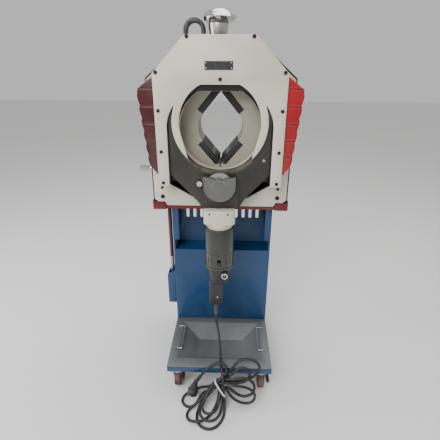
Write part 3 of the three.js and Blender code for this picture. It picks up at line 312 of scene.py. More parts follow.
def cable(name, points, radius):
    data = bpy.data.curves.new(name, "CURVE")
    data.dimensions, data.bevel_depth, data.bevel_resolution = "3D", radius, 3
    data.use_fill_caps = True
    spline = data.splines.new("POLY")
    spline.points.add(len(points) - 1)
    spline.points.foreach_set("co", np.c_[points, np.ones(len(points))].ravel())
    spline.use_smooth = True
    obj = bpy.data.objects.new(name, data)
    bpy.context.scene.collection.objects.link(obj)
    only(obj)
    bpy.ops.object.convert(target="MESH")
    obj = bpy.context.object
    shape(obj, lambda v: True, "VERT")
    bpy.ops.mesh.remove_doubles(threshold=1e-6)
    bpy.ops.mesh.normals_make_consistent(inside=False)
    object_mode()
    only(obj)
    bpy.ops.object.shade_smooth_by_angle(angle=radians(60))
    return obj


mains_lead = cable("mains_lead", metres, CORD_D / 2)

# %% [markdown]
# The plug hangs from the last stretch of the lead and stands on its two pins. It is a round body turned
# from a profile: a disc is extruded along the plug's line and scaled ring by ring, like turning on a lathe.

# %% Turned pieces
def turned(name, start, direction, rings, sides=32, caps=True):
    """A closed body of rings: (distance along the line, radius) pairs from start."""
    only()
    bpy.ops.mesh.primitive_circle_add(vertices=sides, radius=rings[0][1], fill_type="NGON" if caps else "NOTHING")
    obj = bpy.context.object
    bpy.ops.object.mode_set(mode="EDIT")
    bpy.context.tool_settings.mesh_select_mode = (True, False, False)
    bpy.ops.mesh.select_all(action="SELECT")
    for (d0, r0), (d1, r1) in zip(rings, rings[1:]):
        bpy.ops.mesh.extrude_region_move(TRANSFORM_OT_translate={"value": (0, 0, d1 - d0)})
        ratio = r1 / r0
        bpy.ops.transform.resize(value=(ratio, ratio, 1), center_override=(0, 0, 0))
    bpy.ops.mesh.select_all(action="SELECT")
    bpy.ops.mesh.normals_make_consistent(inside=False)
    object_mode()
    n = Vector(direction).normalized()
    obj.matrix_world = (Matrix.Translation(Vector(start) + n * rings[0][0])
                        @ n.to_track_quat("Z", "Y").to_matrix().to_4x4())
    obj.name = name
    bpy.context.view_layer.update()
    return obj


PLUG_TOP, PLUG_TIP = place(-83, -300, 82), place(-103, -309, 9)
plug_dir = (PLUG_TIP - PLUG_TOP).normalized()
tail_end = place(*TAIL[-1])
relief_dir = (PLUG_TOP - tail_end).normalized()
mm = 0.001
body_rings = [(0, 6), (0.6, 7.6), (4, 8.4), (12, 9.5), (13, 11), (22, 13.6), (33, 16.4), (35, 18.4), (36, 19),
              (50, 19),
              (51.4, 18.2), (52, 17)]
plug_body = turned("plug_body", PLUG_TOP, plug_dir, [(d * mm, r * mm) for d, r in body_rings])
relief = turned("relief", tail_end - relief_dir * 0.004, relief_dir,
                [(d * mm, r * mm) for d, r in ((0, 5.4), (1, 6), (5, 6), (5.6, 5.6), (7.4, 5.6), (8, 6.4),
                                               (12, 6.6), (12.6, 6),
                                               (14.4, 6), (15, 7), (19, 7.2), (19.6, 6.6), (21.4, 6.6), (22, 7.6),
                                               (27, 8))],
                sides=24)
plug = joined([plug_body, relief], "plug_moulding", "frame")
side = Vector((1, 0, 0)).cross(plug_dir).cross(plug_dir).normalized() * 0.009
pins = [turned("pin", PLUG_TOP + side * s + plug_dir * 0.050, plug_dir,
               [(0, .0024), (0.019, .0024), (0.0205, .0019), (0.021, .0012)], sides=16) for s in (-1, 1)]
plug_pins = joined(pins, "plug_pins", "frame")
print("plug body", round((PLUG_TIP - PLUG_TOP).length * 1000), "mm from top to tip")

# %% [markdown]
# The boot where the lead leaves the motor handle is a soft tapered sleeve with rings, so that the lead
# bends slowly. It rides with the motor; the tie is a thin white strap round the waist.

# %% Boot and tie
boot_lo, boot_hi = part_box("cord_boot")
boot_x, boot_y = (boot_lo.x + boot_hi.x) / 2, (boot_lo.y + boot_hi.y) / 2
boot_rings = [(0, 10.9)]
for k in range(9):
    r = 10.6 - k * 0.45
    boot_rings += [(7 + k * 5.6, r), (7.6 + k * 5.6, r - 1.1), (10 + k * 5.6, r - 1.3), (10.6 + k * 5.6, r - 0.4)]
boot_rings += [((boot_hi.z - boot_lo.z) * 1000 - 0.6, 6.4), ((boot_hi.z - boot_lo.z) * 1000, 5.8)]
boot = turned("boot", (boot_x, boot_y, boot_hi.z), (0, 0, -1), [(d * mm, r * mm) for d, r in boot_rings], sides=28)
boot = finished(boot, "lead_boot", body_of["cord_boot"], 40)
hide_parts("cord_boot")

near_waist = line[np.abs((line - WAIST) @ ALONG) < 5]
near_waist = near_waist[np.linalg.norm(near_waist - WAIST, axis=1) < 45]
u, v = (near_waist - WAIST) @ ACROSS, (near_waist - WAIST) @ OUT
hull = []
for a in np.linspace(0, 2 * pi, 40, endpoint=False):
    reach = (u * cos(a) + v * sin(a)).max() + 5.6
    hull.append((a, reach))
print("tie reaches", round(min(h[1] for h in hull), 1), "to", round(max(h[1] for h in hull), 1), "mm")
only()
bpy.ops.mesh.primitive_circle_add(vertices=40, radius=1, fill_type="NOTHING")
tie = bpy.context.object
angles = [a for a, _ in hull]
support = np.array([r for _, r in hull])
ring_pts = []
for k, a in enumerate(angles):
    da = angles[1] - angles[0]
    slope = (support[(k + 1) % 40] - support[k - 1]) / (2 * da)
    ring_pts.append((support[k] * cos(a) - slope * sin(a), support[k] * sin(a) + slope * cos(a)))
for vert, (cu, cv) in zip(tie.data.vertices, ring_pts):
    vert.co = place(*(WAIST + ACROSS * cu + OUT * cv - ALONG * 2.6))
shape(tie, lambda e: True, "EDGE")
step_along = Vector(ALONG) * 0.0052
bpy.ops.mesh.extrude_region_move(TRANSFORM_OT_translate={"value": step_along})
object_mode()
wall = tie.modifiers.new("wall", "SOLIDIFY")
wall.thickness, wall.offset = 0.0014, 1
only(tie)
bpy.ops.object.modifier_apply(modifier="wall")
head_spot = place(*(WAIST + ACROSS * ring_pts[30][0] + OUT * ring_pts[30][1]))
head = block((0.009, 0.008, 0.007), head_spot, 0.0012)
hank_tie = joined([tie, head], "hank_tie", "frame")
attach(mains_lead, "frame")
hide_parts("cord_lead", "cord_tail", "cord_hank")
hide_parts("mains_plug")

# %% [markdown]
# Every finish is a small network of nodes. Writing one node at a time hides the idea behind the wiring, so
# a value that comes out of a node is wrapped in a little class: adding or multiplying two of them adds the
# Math node that does it, and the expression reads like arithmetic.

# %% Arithmetic on shader values
class Value:
    def __init__(self, finish, socket):
        self.finish, self.socket = finish, socket

    def _math(self, operation, a, b=0.0, clamp=False):
        return self.finish.node("Math", {"operation": operation, "use_clamp": clamp}, {0: a, 1: b})

    def __add__(self, other): return self._math("ADD", self, other)
    def __radd__(self, other): return self._math("ADD", other, self)
    def __sub__(self, other): return self._math("SUBTRACT", self, other)
    def __rsub__(self, other): return self._math("SUBTRACT", other, self)
    def __mul__(self, other): return self._math("MULTIPLY", self, other)
    def __rmul__(self, other): return self._math("MULTIPLY", other, self)
    def __pow__(self, other): return self._math("POWER", self, other)

    def held(self):
        """The same value, kept between 0 and 1."""
        return self._math("ADD", self, 0.0, clamp=True)

    def wave(self):
        return self._math("SINE", self)


class Finish:
    """One material: its nodes, and the shader whose sockets they feed."""

    def __init__(self, name, **shader):
        self.material = bpy.data.materials.new(name)
        self.material.use_nodes = True
        self.tree = self.material.node_tree
        self.shader = self.tree.nodes["Principled BSDF"]
        self.set(**shader)

    def node(self, kind, settings=None, inputs=None, out=0):
        made = self.tree.nodes.new("ShaderNode" + kind)
        for key, value in (settings or {}).items():
            if key == "stops":
                ramp = made.color_ramp
                while len(ramp.elements) > 1:
                    ramp.elements.remove(ramp.elements[-1])
                ramp.elements[0].position = value[0][0]
                ramp.elements[0].color = (*value[0][1], 1)
                for spot, colour in value[1:]:
                    ramp.elements.new(spot).color = (*colour, 1)
            else:
                setattr(made, key, value)
        for key, value in (inputs or {}).items():
            self.put(made.inputs[key], value)
        return Value(self, made.outputs[out])

    def put(self, socket, value):
        if isinstance(value, Value):
            self.tree.links.new(value.socket, socket)
        elif socket.type == "RGBA" and len(value) == 3:
            socket.default_value = (*value, 1)
        else:
            socket.default_value = value

    def set(self, **shader):
        for key, value in shader.items():
            self.put(self.shader.inputs[key.replace("_", " ")], value)

    def spot(self, stretch=(1, 1, 1)):
        where = self.node("TexCoord", out=3)
        return self.node("Mapping", {}, {"Vector": where, "Scale": stretch})

    def noise(self, scale, detail=3.0, rough=0.55, stretch=(1, 1, 1)):
        return self.node("TexNoise", {},
                         {"Vector": self.spot(stretch), "Scale": scale, "Detail": detail, "Roughness": rough})

    def between(self, value, low, high):
        """0 below low, 1 above high, straight in between."""
        return self.node("MapRange", {"clamp": True}, {"Value": value, "From Min": low, "From Max": high})

    def blend(self, mask, first, second):
        mix = self.tree.nodes.new("ShaderNodeMix")
        mix.data_type = "RGBA"
        for key, value in ((0, mask), (6, first), (7, second)):
            self.put(mix.inputs[key], value)
        return Value(self, mix.outputs[2])

    def height(self):
        split = self.tree.nodes.new("ShaderNodeSeparateXYZ")
        self.tree.links.new(self.node("TexCoord", out=3).socket, split.inputs[0])
        return Value(self, split.outputs[2])

    def bump(self, height, strength, depth):
        self.set(Normal=self.node("Bump", {}, {"Height": height, "Strength": strength, "Distance": depth}))


print("finishes are written as expressions")

# %% [markdown]
# Painted sheet steel is never one flat colour: the paint film has a fine orange peel, the shade drifts a
# little over a panel, dust greys it near the floor and the odd scuff shows. All the paints share this
# recipe and differ in colour, gloss and how fresh they are.

# %% Paints
def paint(name, colour, shade, gloss=0.38, peel=0.05, dust=0.25, coat=0.25, scuffs=0.5, peel_scale=420):
    f = Finish(name, Coat_Roughness=0.22, Coat_Weight=coat)
    drift = f.between(f.noise(5.0, 3), 0.34, 0.68)
    base = f.blend(drift, colour, shade)
    fine = f.noise(peel_scale, 2)
    scratch = f.between(f.noise(60, 4, 0.6, (1, 1, 9)), 0.66, 0.74) * f.between(f.noise(9, 2), 0.5, 0.64) * scuffs
    base = f.blend(scratch, base, tuple(min(1, c * 1.5 + 0.04) for c in colour))
    low = (1 - f.between(f.height(), 0.05, 0.5)) * f.between(f.noise(28, 4), 0.4, 0.75) * dust
    base = f.blend(low, base, (0.36, 0.34, 0.31))
    f.set(Base_Color=base, Roughness=(gloss + 0.14 * drift + 0.2 * scratch + 0.25 * low).held())
    f.bump(fine + 0.4 * f.noise(38, 2), 0.35, peel * 0.001)
    return f.material


BLUE = paint("blue_paint", (0.002, 0.048, 0.145), (0.001, 0.038, 0.118), 0.36, 0.06, 0.07)
IVORY = paint("ivory_paint", (0.66, 0.62, 0.52), (0.58, 0.54, 0.44), 0.42, 0.05, 0.0, 0.2, 0.25)
RED = paint("red_paint", (0.15, 0.001, 0.003), (0.10, 0.001, 0.002), 0.34, 0.04, 0.0, 0.25, 0.3)
MAROON = paint("dark_red_paint", (0.075, 0.006, 0.010), (0.050, 0.004, 0.008), 0.34, 0.05, 0.0, 0.4, 0.4)
BLACK_PAINT = paint("black_crackle", (0.012, 0.012, 0.013), (0.020, 0.020, 0.020), 0.50, 0.22, 0.0, 0.05, 0.3, 700)
MOTOR_PAINT = paint("olive_black_paint", (0.022, 0.023, 0.018), (0.036, 0.036, 0.028), 0.34, 0.08, 0.0, 0.35, 0.5)
TAUPE = paint("cream_grey_paint", (0.36, 0.33, 0.265), (0.27, 0.25, 0.20), 0.44, 0.08, 0.0, 0.15, 0.5)
TIE_WHITE = paint("white_strap", (0.72, 0.72, 0.70), (0.62, 0.62, 0.60), 0.4, 0.02, 0.1, 0.1, 0.1)
DARK_RED_TYRE = paint("dark_red_tyre", (0.090, 0.022, 0.018), (0.060, 0.016, 0.014), 0.62, 0.25, 0.35, 0.0, 0.6,
                      260)
print("paints made:", len(bpy.data.materials))

# %% Ribbed red moulding of the two side grips: a groove between each pair of finger bulges, painted shade in each groove and a painted highlight on each crest
grip_lo, grip_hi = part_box("right_grip")


def grip_finish(name, colour, shade, light):
    f = Finish(name, Coat_Weight=0.3, Coat_Roughness=0.15)
    turns = (f.height() - grip_lo.z) * (2 * pi / ((grip_hi.z - grip_lo.z) / 6))
    groove = f.between(turns.wave(), 0.93, 1.0)
    crest_highlight = f.between(turns.wave(), 0.55, 0.9) * (1 - groove)
    drift = f.between(f.noise(7, 3), 0.35, 0.68)
    base = f.blend(drift, colour, shade)
    # painted shade: each groove is darkened to a quarter of the grip's colour
    base = f.blend(groove, base, tuple(c * 0.25 for c in colour))
    # painted highlight: the crests between the grooves take the light colour
    base = f.blend(crest_highlight * 0.45, base, light)
    f.set(Base_Color=base, Roughness=0.26 + 0.12 * drift + 0.2 * groove)
    f.bump(1 - groove + 0.02 * f.noise(500, 2), 0.7, 0.0012)
    return f.material


# the third colour of each grip is the painted highlight on its crests
RED_GRIP = grip_finish("red_moulding", (0.36, 0.002, 0.006), (0.28, 0.001, 0.004), (0.48, 0.02, 0.03))
# The left grip is a darker copy of the same red moulding: painted shade for the grip turned away from the light.
SHADED_GRIP = grip_finish("shaded_red_moulding", (0.060, 0.001, 0.003), (0.045, 0.001, 0.002), (0.10, 0.006, 0.008))
print("grip groove every", round((grip_hi.z - grip_lo.z) / 6 * 1000, 1), "mm")

# %% [markdown]
# The tray has hammered enamel: round shallow dimples with a lighter metallic fleck on their rims. A
# Voronoi pattern gives cells of that kind, and its distance drives both the bump and the shade.

# %% Hammered enamel
f = Finish("hammered_grey", Coat_Weight=0.3, Coat_Roughness=0.25)
cells = f.node("TexVoronoi", {"feature": "SMOOTH_F1"}, {"Vector": f.spot(), "Scale": 210.0, "Smoothness": 0.6})
dimple = f.between(cells, 0.1, 0.75)
cloud = f.between(f.noise(7, 3), 0.35, 0.68)
base = f.blend(dimple, (0.098, 0.112, 0.112), (0.165, 0.178, 0.176))
base = f.blend(cloud * 0.5, base, (0.20, 0.205, 0.198))
swarf = f.between(f.noise(120, 4, 0.7), 0.64, 0.70) * f.between(f.noise(11, 2), 0.48, 0.6)
base = f.blend(swarf * 0.6, base, (0.045, 0.047, 0.046))
f.set(Base_Color=base, Metallic=0.25 + 0.2 * dimple, Roughness=0.42 + 0.16 * cloud)
f.bump(dimple + 0.4 * f.noise(90, 2), 0.55, 0.0006)
HAMMERED = f.material


# %% [markdown]
# Bare steel shows how it was worked: turned faces carry fine rings, ground bars have long hair lines, and
# zinc plate is mottled. The same metal recipe takes a stretch that says which way the lines run.

# %% Metals
def metal(name, colour, shade, rough, stretch=(1, 1, 1), scale=90, lines=0.3, depth=0.0001, stain=0.3,
          metallic=1.0):
    f = Finish(name)
    grain = f.noise(scale, 4, 0.6, stretch)
    patch = f.between(f.noise(16, 4, 0.6), 0.42, 0.72)
    base = f.blend(f.between(grain, 0.3, 0.7), colour, shade)
    base = f.blend(patch * stain, base, tuple(c * 0.45 for c in colour))
    f.set(Base_Color=base, Metallic=metallic - 0.12 * patch * stain,
          Roughness=(rough + 0.22 * grain * lines + 0.2 * patch * stain).held())
    f.bump(grain, lines, depth)
    return f.material


STEEL = metal("turned_steel", (0.60, 0.59, 0.56), (0.47, 0.46, 0.44), 0.27, (1, 9, 9), 60)
BRIGHT = metal("polished_steel", (0.72, 0.71, 0.68), (0.62, 0.61, 0.59), 0.16, (1, 1, 8), 50, 0.2, 0.00005, 0.15)
GROUND = metal("ground_bar", (0.56, 0.56, 0.55), (0.44, 0.44, 0.43), 0.24, (1, 14, 14), 40)
SAW_STEEL = metal("saw_steel", (0.50, 0.48, 0.44), (0.36, 0.35, 0.33), 0.32, (9, 1, 1), 70, 0.4)
ZINC = metal("zinc_plate", (0.52, 0.53, 0.55), (0.38, 0.39, 0.41), 0.36, (1, 1, 1), 130, 0.5, 0.0001, 0.4)
BLACK_OXIDE = metal("black_oxide", (0.018, 0.018, 0.020), (0.032, 0.031, 0.030), 0.42, (1, 1, 7), 80, 0.5, 0.0002,
                    0.3, 0.4)
ROTOR_CAST = metal("oiled_casting", (0.022, 0.021, 0.018), (0.013, 0.013, 0.012), 0.38, (1, 1, 1), 240, 0.9, 0.0006,
                   0.5, 0.5)
GUARD_STEEL = metal("grey_guard_steel", (0.20, 0.20, 0.19), (0.13, 0.13, 0.125), 0.36, (1, 1, 6), 90, 0.4, 0.0001,
                    0.4, 0.7)
print("metals made, materials so far:", len(bpy.data.materials))

# %% [markdown]
# The saw's slide is an olive-black casting whose saddle is lighter and more metallic in a band where it meets the
# ring. The band is a distance from the machine's axis, so it is worked out from the coordinates. The vise
# inserts are serrated: ridges that run along each insert, on both sides of the middle, with a painted highlight on
# each crest.

# %% Slide casting with a lighter saddle band, and serrated inserts with painted highlights on their crests
def apart(f):
    """Sideways distance from the axis, and height above it."""
    split = f.tree.nodes.new("ShaderNodeSeparateXYZ")
    f.tree.links.new(f.node("TexCoord", out=3).socket, split.inputs[0])
    return Value(f, split.outputs[0]) - AXIS_X, Value(f, split.outputs[2]) - AXIS_Z


saddle_r = min(((v.co.x - AXIS_X) ** 2 + (v.co.z - AXIS_Z) ** 2) ** 0.5 for v in frame["nodes"]["slide_housing"].data.vertices)
f = Finish("slide_casting", Coat_Weight=0.15, Coat_Roughness=0.35)
side, up = apart(f)
reach = (side * side + up * up) ** 0.5
band = f.between(reach, saddle_r + 0.014, saddle_r + 0.0115)
mottle = f.between(f.noise(14, 4), 0.36, 0.68)
pits = f.noise(260, 3, 0.6)
base = f.blend(mottle, (0.034, 0.033, 0.026), (0.021, 0.020, 0.017))
base = f.blend(band * f.between(f.noise(50, 3), 0.25, 0.5), base, (0.105, 0.100, 0.080))
f.set(Base_Color=base, Metallic=0.15 + 0.35 * band, Roughness=0.40 + 0.14 * mottle - 0.08 * band)
f.bump(pits * (1 - 0.7 * band), 0.8, 0.0005)
CASTING = f.material
print("saddle radius", round(saddle_r * 1000, 1), "mm")


def serrated(name, way):
    f = Finish(name)
    side, up = apart(f)
    across = (side._math("ABSOLUTE", side) + up * way) * (2 * pi / 0.0105)
    ridge = f.between(across.wave(), 0.2, 0.95)
    crown_highlight = f.between(across.wave(), 0.82, 1.0)
    # painted highlight: the crest of each ridge is painted light grey
    base = f.blend(crown_highlight * 0.8, f.blend(f.noise(60, 3), (0.010, 0.010, 0.011), (0.024, 0.023, 0.022)),
                   (0.22, 0.215, 0.20))
    f.set(Base_Color=base, Metallic=0.2 + 0.5 * crown_highlight, Roughness=0.45 - 0.15 * crown_highlight)
    f.bump(ridge, 1.0, 0.0015)
    return f.material


SERRATED_LOW, SERRATED_HIGH = serrated("serrated_low", -1), serrated("serrated_high", 1)
print("materials so far:", len(bpy.data.materials))


# %% [markdown]
# Mouldings and rubber have a fine grain that breaks up the shine. The lead's jacket also picks up dust and
# rubs a little shinier where it was handled.

# %% Plastics and rubber
def moulding(name, colour, shade, rough, grain=600, depth=0.00008, dust=0.2, coat=0.0):
    f = Finish(name, Coat_Weight=coat, Coat_Roughness=0.3)
    drift = f.between(f.noise(22, 3), 0.35, 0.7)
    specks = f.between(f.noise(90, 4, 0.7), 0.52, 0.72) * dust
    base = f.blend(specks, f.blend(drift, colour, shade), (0.17, 0.16, 0.15))
    f.set(Base_Color=base, Roughness=(rough + 0.14 * drift + 0.2 * specks).held())
    f.bump(f.noise(grain, 2), 0.4, depth)
    return f.material


BLACK_PLASTIC = moulding("black_moulding", (0.012, 0.012, 0.014), (0.020, 0.020, 0.022), 0.40, coat=0.1)
RUBBER = moulding("black_rubber", (0.011, 0.011, 0.012), (0.022, 0.022, 0.023), 0.46, 300, 0.00012, 0.3)
BOOT_GREY = moulding("grey_rubber", (0.060, 0.062, 0.062), (0.090, 0.092, 0.090), 0.55, 400, 0.0001, 0.3)
DIAL_WHITE = moulding("ring_white", (0.66, 0.66, 0.62), (0.56, 0.56, 0.53), 0.4, 500, 0.00003, 0.2)
# slot_shadow is near-black: painted shade in the motor's slots and the slide's holes, and the own black of the
# screws and the label plate
SLOT_DARK = moulding("slot_shadow", (0.006, 0.006, 0.007), (0.010, 0.010, 0.011), 0.6, 500, 0.00003, 0.1)
print("all finishes:", len(bpy.data.materials))

# %% [markdown]
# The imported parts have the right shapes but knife-sharp edges. Real sheet, castings and mouldings have
# rounded edges that catch the light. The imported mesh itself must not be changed, so a copy is merged,
# cleaned and bevelled, and stands for it.

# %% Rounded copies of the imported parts
def refined(node, finish, width=0.0008, steps=2, angle=30, name=None):
    source = frame["nodes"][node]
    data = source.data.copy()
    obj = bpy.data.objects.new(name or node + "_finished", data)
    bpy.context.scene.collection.objects.link(obj)
    shape(obj, lambda v: True, "VERT")
    bpy.ops.mesh.remove_doubles(threshold=1e-6)
    bpy.ops.mesh.dissolve_limited(angle_limit=radians(0.6))
    object_mode()
    if width:
        bevelled(obj, width, steps, angle)
    data.materials.clear()
    data.materials.append(finish)
    finished(obj, obj.name, body_of[node], 35)
    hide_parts(node)
    return obj


made = {}
for node, finish, width in (
        ("base_frame", BLUE, 0.0015), ("chip_tray", HAMMERED, 0.0010), ("cabinet_shell", BLUE, 0.0012),
        ("recess_liner", BLUE, 0.0006), ("tool_pocket", BLUE, 0.0010), ("crank_shaft", ZINC, 0.0010),
        ("crank_grip", MAROON, 0.0016), ("base_plate", RED, 0.0018), ("front_plate", IVORY, 0.0012),
        ("rear_housing", BLACK_PAINT, 0.0020), ("spindle_bush_left", STEEL, 0.0008),
        ("spindle_bush_right", STEEL, 0.0008),
        ("guide_rod_upper", GROUND, 0.0006), ("guide_rod_lower", GROUND, 0.0006), ("vise_spindle", STEEL, 0.0005),
        ("jaw_left", TAUPE, 0.0018), ("jaw_right", TAUPE, 0.0018), ("insert_upper_left", SERRATED_HIGH, 0.0008),
        ("insert_upper_right", SERRATED_HIGH, 0.0008), ("insert_lower_left", SERRATED_LOW, 0.0008),
        ("insert_lower_right", SERRATED_LOW, 0.0008), ("rotor_retainer", TAUPE, 0.0006),
        ("left_grip", SHADED_GRIP, 0.0030),
        ("right_grip", RED_GRIP, 0.0030), ("label_plate", SLOT_DARK, 0.0003), ("slide_housing", CASTING, 0.0014),
        ("saw_blade", SAW_STEEL, 0.0), ("blade_arbor", STEEL, 0.0005), ("cover_knob", BLACK_OXIDE, 0.0008),
        ("gearbox_collar", IVORY, 0.0014), ("motor_housing", MOTOR_PAINT, 0.0012), ("motor_armature", STEEL, 0.0),
        ("motor_end_cap", BLACK_PLASTIC, 0.0012), ("motor_handle", BLACK_PLASTIC, 0.0020),
        ("switch_slider", BLACK_PLASTIC, 0.0008), ("speed_dial", BLACK_PLASTIC, 0.0008),
        ("carrying_handle", BLACK_PLASTIC, 0.0024), ("lock_bushing", STEEL, 0.0010), ("lock_knob", BRIGHT, 0.0010),
        ("tray_handle_left", ZINC, 0.0), ("tray_handle_right", ZINC, 0.0)):
    made[node] = refined(node, finish, width=width)
print("rounded parts:", len(made))

# %% Rotor: a dark casting with an ivory bore, and the casters
IVORY_REACH = 0.152       # faces nearer to the axis than this are the ivory bore
rotor = made["rotor_body"] = refined("rotor_body", ROTOR_CAST, width=0.0012)
rotor.data.materials.append(IVORY)
for face in rotor.data.polygons:
    corners = [rotor.data.vertices[i].co for i in face.vertices]
    if all((c.x - AXIS_X) ** 2 + (c.z - AXIS_Z) ** 2 < IVORY_REACH ** 2 for c in corners):
        face.material_index = 1
print("ivory faces of the rotor's bore:", sum(face.material_index for face in rotor.data.polygons))
for corner in ("front_left", "front_right", "rear_left", "rear_right"):
    made["fork_" + corner] = refined("caster_fork_" + corner, ZINC, width=0.0006)
    made["wheel_" + corner] = refined("caster_wheel_" + corner, DARK_RED_TYRE, width=0.0016, steps=3)
    if corner.startswith("front"):
        made["pedal_" + corner] = refined("brake_pedal_" + corner, BLACK_PLASTIC, width=0.0008)
print("all rounded:", len(made))

# %% [markdown]
# The blade guard is a pressed plate with a raised rim; the front cover is a plain plate with soft edges.
# The rim is made the way it would be by hand: the front face is inset and the middle pushed back a little.

# %% Guard with a stepped front, and the cover with a plain one
def stepped_front(node, finish, rim, depth, width):
    obj = refined(node, finish, width=0)
    lo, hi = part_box(node)
    shape(obj, lambda face: face.normal.y < -0.95 and abs(face.calc_center_median().y - lo.y) < 1e-4)
    bpy.ops.mesh.dissolve_limited(angle_limit=radians(1))
    bpy.ops.mesh.inset(thickness=rim, depth=0, use_boundary=True)
    bpy.ops.mesh.extrude_region_move(TRANSFORM_OT_translate={"value": (0, depth, 0)})
    object_mode()
    bevelled(obj, width, 2, 30)
    only(obj)
    bpy.ops.object.shade_smooth_by_angle(angle=radians(35))
    made[node] = obj
    return obj


stepped_front("blade_cover", GUARD_STEEL, rim=0.0034, depth=0.0008, width=0.0005)
made["front_cover"] = refined("front_cover", IVORY, width=0.0012)
print("stepped fronts done")

# %% Finishes of the lead, its plug, boot and tie
for piece, finish, slot in ((mains_lead, RUBBER, "rubber"), (plug, BLACK_PLASTIC, "black_plastic"),
                            (plug_pins, BRIGHT, "steel"),
                            (hank_tie, TIE_WHITE, "black_plastic"), (boot, BOOT_GREY, "rubber")):
    piece.data.materials.clear()
    piece.data.materials.append(finish)
print("lead, plug, pins, tie and boot have their finishes")

# %% [markdown]
# Small hardware is modelled once and copied. A button screw starts as a short cylinder whose upper edge is
# bevelled; its driving hole is inset into the end face and pushed down, as a tool would cut it.

# %% One screw, copied to every place
def screw(radius, height, sides=24, hole=0.5):
    only()
    bpy.ops.mesh.primitive_cylinder_add(vertices=sides, radius=radius, depth=height, location=(0, 0, height / 2))
    obj = bpy.context.object
    bpy.ops.object.transform_apply(location=True, rotation=False, scale=False)
    shape(obj, lambda edge: all(v.co.z > height * 0.9 for v in edge.verts), "EDGE")
    bpy.ops.mesh.bevel(offset=radius * 0.28, segments=3, affect="EDGES")
    object_mode()
    shape(obj, lambda face: face.normal.z > 0.99)
    bpy.ops.mesh.inset(thickness=radius * (0.72 - hole), depth=0)
    bpy.ops.mesh.extrude_region_move(TRANSFORM_OT_translate={"value": (0, 0, -height * 0.55)})
    object_mode()
    return obj


def copied(master, spots, name, body, finish):
    """spots are (place, outward direction) pairs; the master itself is used up."""
    print(name, len(spots), "copies on", body)
    if not spots:
        bpy.data.objects.remove(master)
        return None
    parts = []
    for spot, normal in spots:
        obj = bpy.data.objects.new(name, master.data.copy())
        bpy.context.scene.collection.objects.link(obj)
        obj.matrix_world = Matrix.Translation(spot) @ Vector(normal).to_track_quat("Z", "Y").to_matrix().to_4x4()
        parts.append(obj)
    bpy.data.objects.remove(master)
    bpy.context.view_layer.update()
    whole = joined(parts, name, body)
    whole.data.materials.clear()
    whole.data.materials.append(finish)
    return whole


def front_of(node, x, z):
    """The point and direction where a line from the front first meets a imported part."""
    data = frame["nodes"][node].data
    faces = BVHTree.FromPolygons([v.co for v in data.vertices], [p.vertices for p in data.polygons])
    spot, normal, _, _ = faces.ray_cast(Vector((x, -3, z)), Vector((0, 1, 0)))
    return (spot, normal) if spot else None


def fronts(node, pairs, sink=0.0004):
    found = [front_of(node, AXIS_X + x / 1000, AXIS_Z + z / 1000) for x, z in pairs]
    return [(spot - normal * sink, normal) for spot, normal in (f for f in found if f)]


COVER_SCREWS = [(-95, 259), (95, 259), (-189, 166), (189, 166), (0, 147.5), (-188, 59), (188, 59), (-186, -66),
                (186, -66),
                (-185, -168), (185, -168)]
copied(screw(0.0056, 0.0032), fronts("front_cover", COVER_SCREWS), "cover_screws", "rotor", SLOT_DARK)
copied(screw(0.0050, 0.0028), fronts("front_plate", [(-203, -204), (200, -206)]), "plate_screws", "frame",
       SLOT_DARK)
copied(screw(0.0074, 0.0040), fronts("front_plate", [(-203, -237), (200, -238)]), "plate_bolts", "frame", SLOT_DARK)
copied(screw(0.0048, 0.0030), fronts("slide_housing", [(141, -93)]), "slide_screws", "slide", STEEL)
# slide_holes are thin near-black rings on the slide: painted shade where the holes are
copied(screw(0.0062, 0.0006, hole=0.62), fronts("slide_housing", [(117, -125)], 0.0003), "slide_holes", "slide",
       SLOT_DARK)
copied(screw(0.0030, 0.0020), fronts("gearbox_collar", [(-33, -262), (29, -263)]), "collar_screws", "slide",
       SLOT_DARK)

# %% Label plate: a blank dark plate with a raised frame and four pins
lo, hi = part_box("label_plate")
plate_frame = block((hi.x - lo.x, 0.0012, hi.z - lo.z), ((lo.x + hi.x) / 2, lo.y - 0.0002, (lo.z + hi.z) / 2))
shape(plate_frame, lambda face: face.normal.y < -0.9)
bpy.ops.mesh.inset(thickness=0.0016, depth=0)
bpy.ops.mesh.extrude_region_move(TRANSFORM_OT_translate={"value": (0, 0.0006, 0)})
object_mode()
bevelled(plate_frame, 0.0002, 1)
plate_frame = finished(plate_frame, "label_frame", "rotor")
plate_frame.data.materials.append(BLACK_PLASTIC)
label_corners = [(Vector((x, lo.y - 0.0006, z)), (0, -1, 0))
                 for x in (lo.x + 0.0045, hi.x - 0.0045) for z in (lo.z + 0.0045, hi.z - 0.0045)]
copied(screw(0.0018, 0.0012, 16), label_corners, "label_pins", "rotor", BRIGHT)

# %% [markdown]
# The blade guard carries an engraved arc of ticks, and its clamp knob has a pale ring that is a painted highlight
# round its rim. Ticks are thin bars set along the arc; a ring is a disc whose middle is inset and pushed back.

# %% Tick scale and pale rings
guard_lo, guard_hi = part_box("blade_cover")
guard_x, guard_z = (guard_lo.x + guard_hi.x) / 2, guard_hi.z - 0.042
ticks = []
for k in range(13):
    a = radians(36 + 9 * k)
    length = 0.0046 if k % 3 == 0 else 0.0028
    r = 0.031 - length / 2
    tick = block((0.0007, 0.0004, length), (0, 0, 0), 0.0001, 1)
    tick.matrix_world = (Matrix.Translation((guard_x + cos(a) * r, guard_lo.y + 0.0007, guard_z + sin(a) * r))
                         @ Matrix.Rotation(pi / 2 - a, 4, "Y"))
    ticks.append(tick)
bpy.context.view_layer.update()
scale_ticks = joined(ticks, "guard_ticks", "slide")
scale_ticks.data.materials.append(BRIGHT)


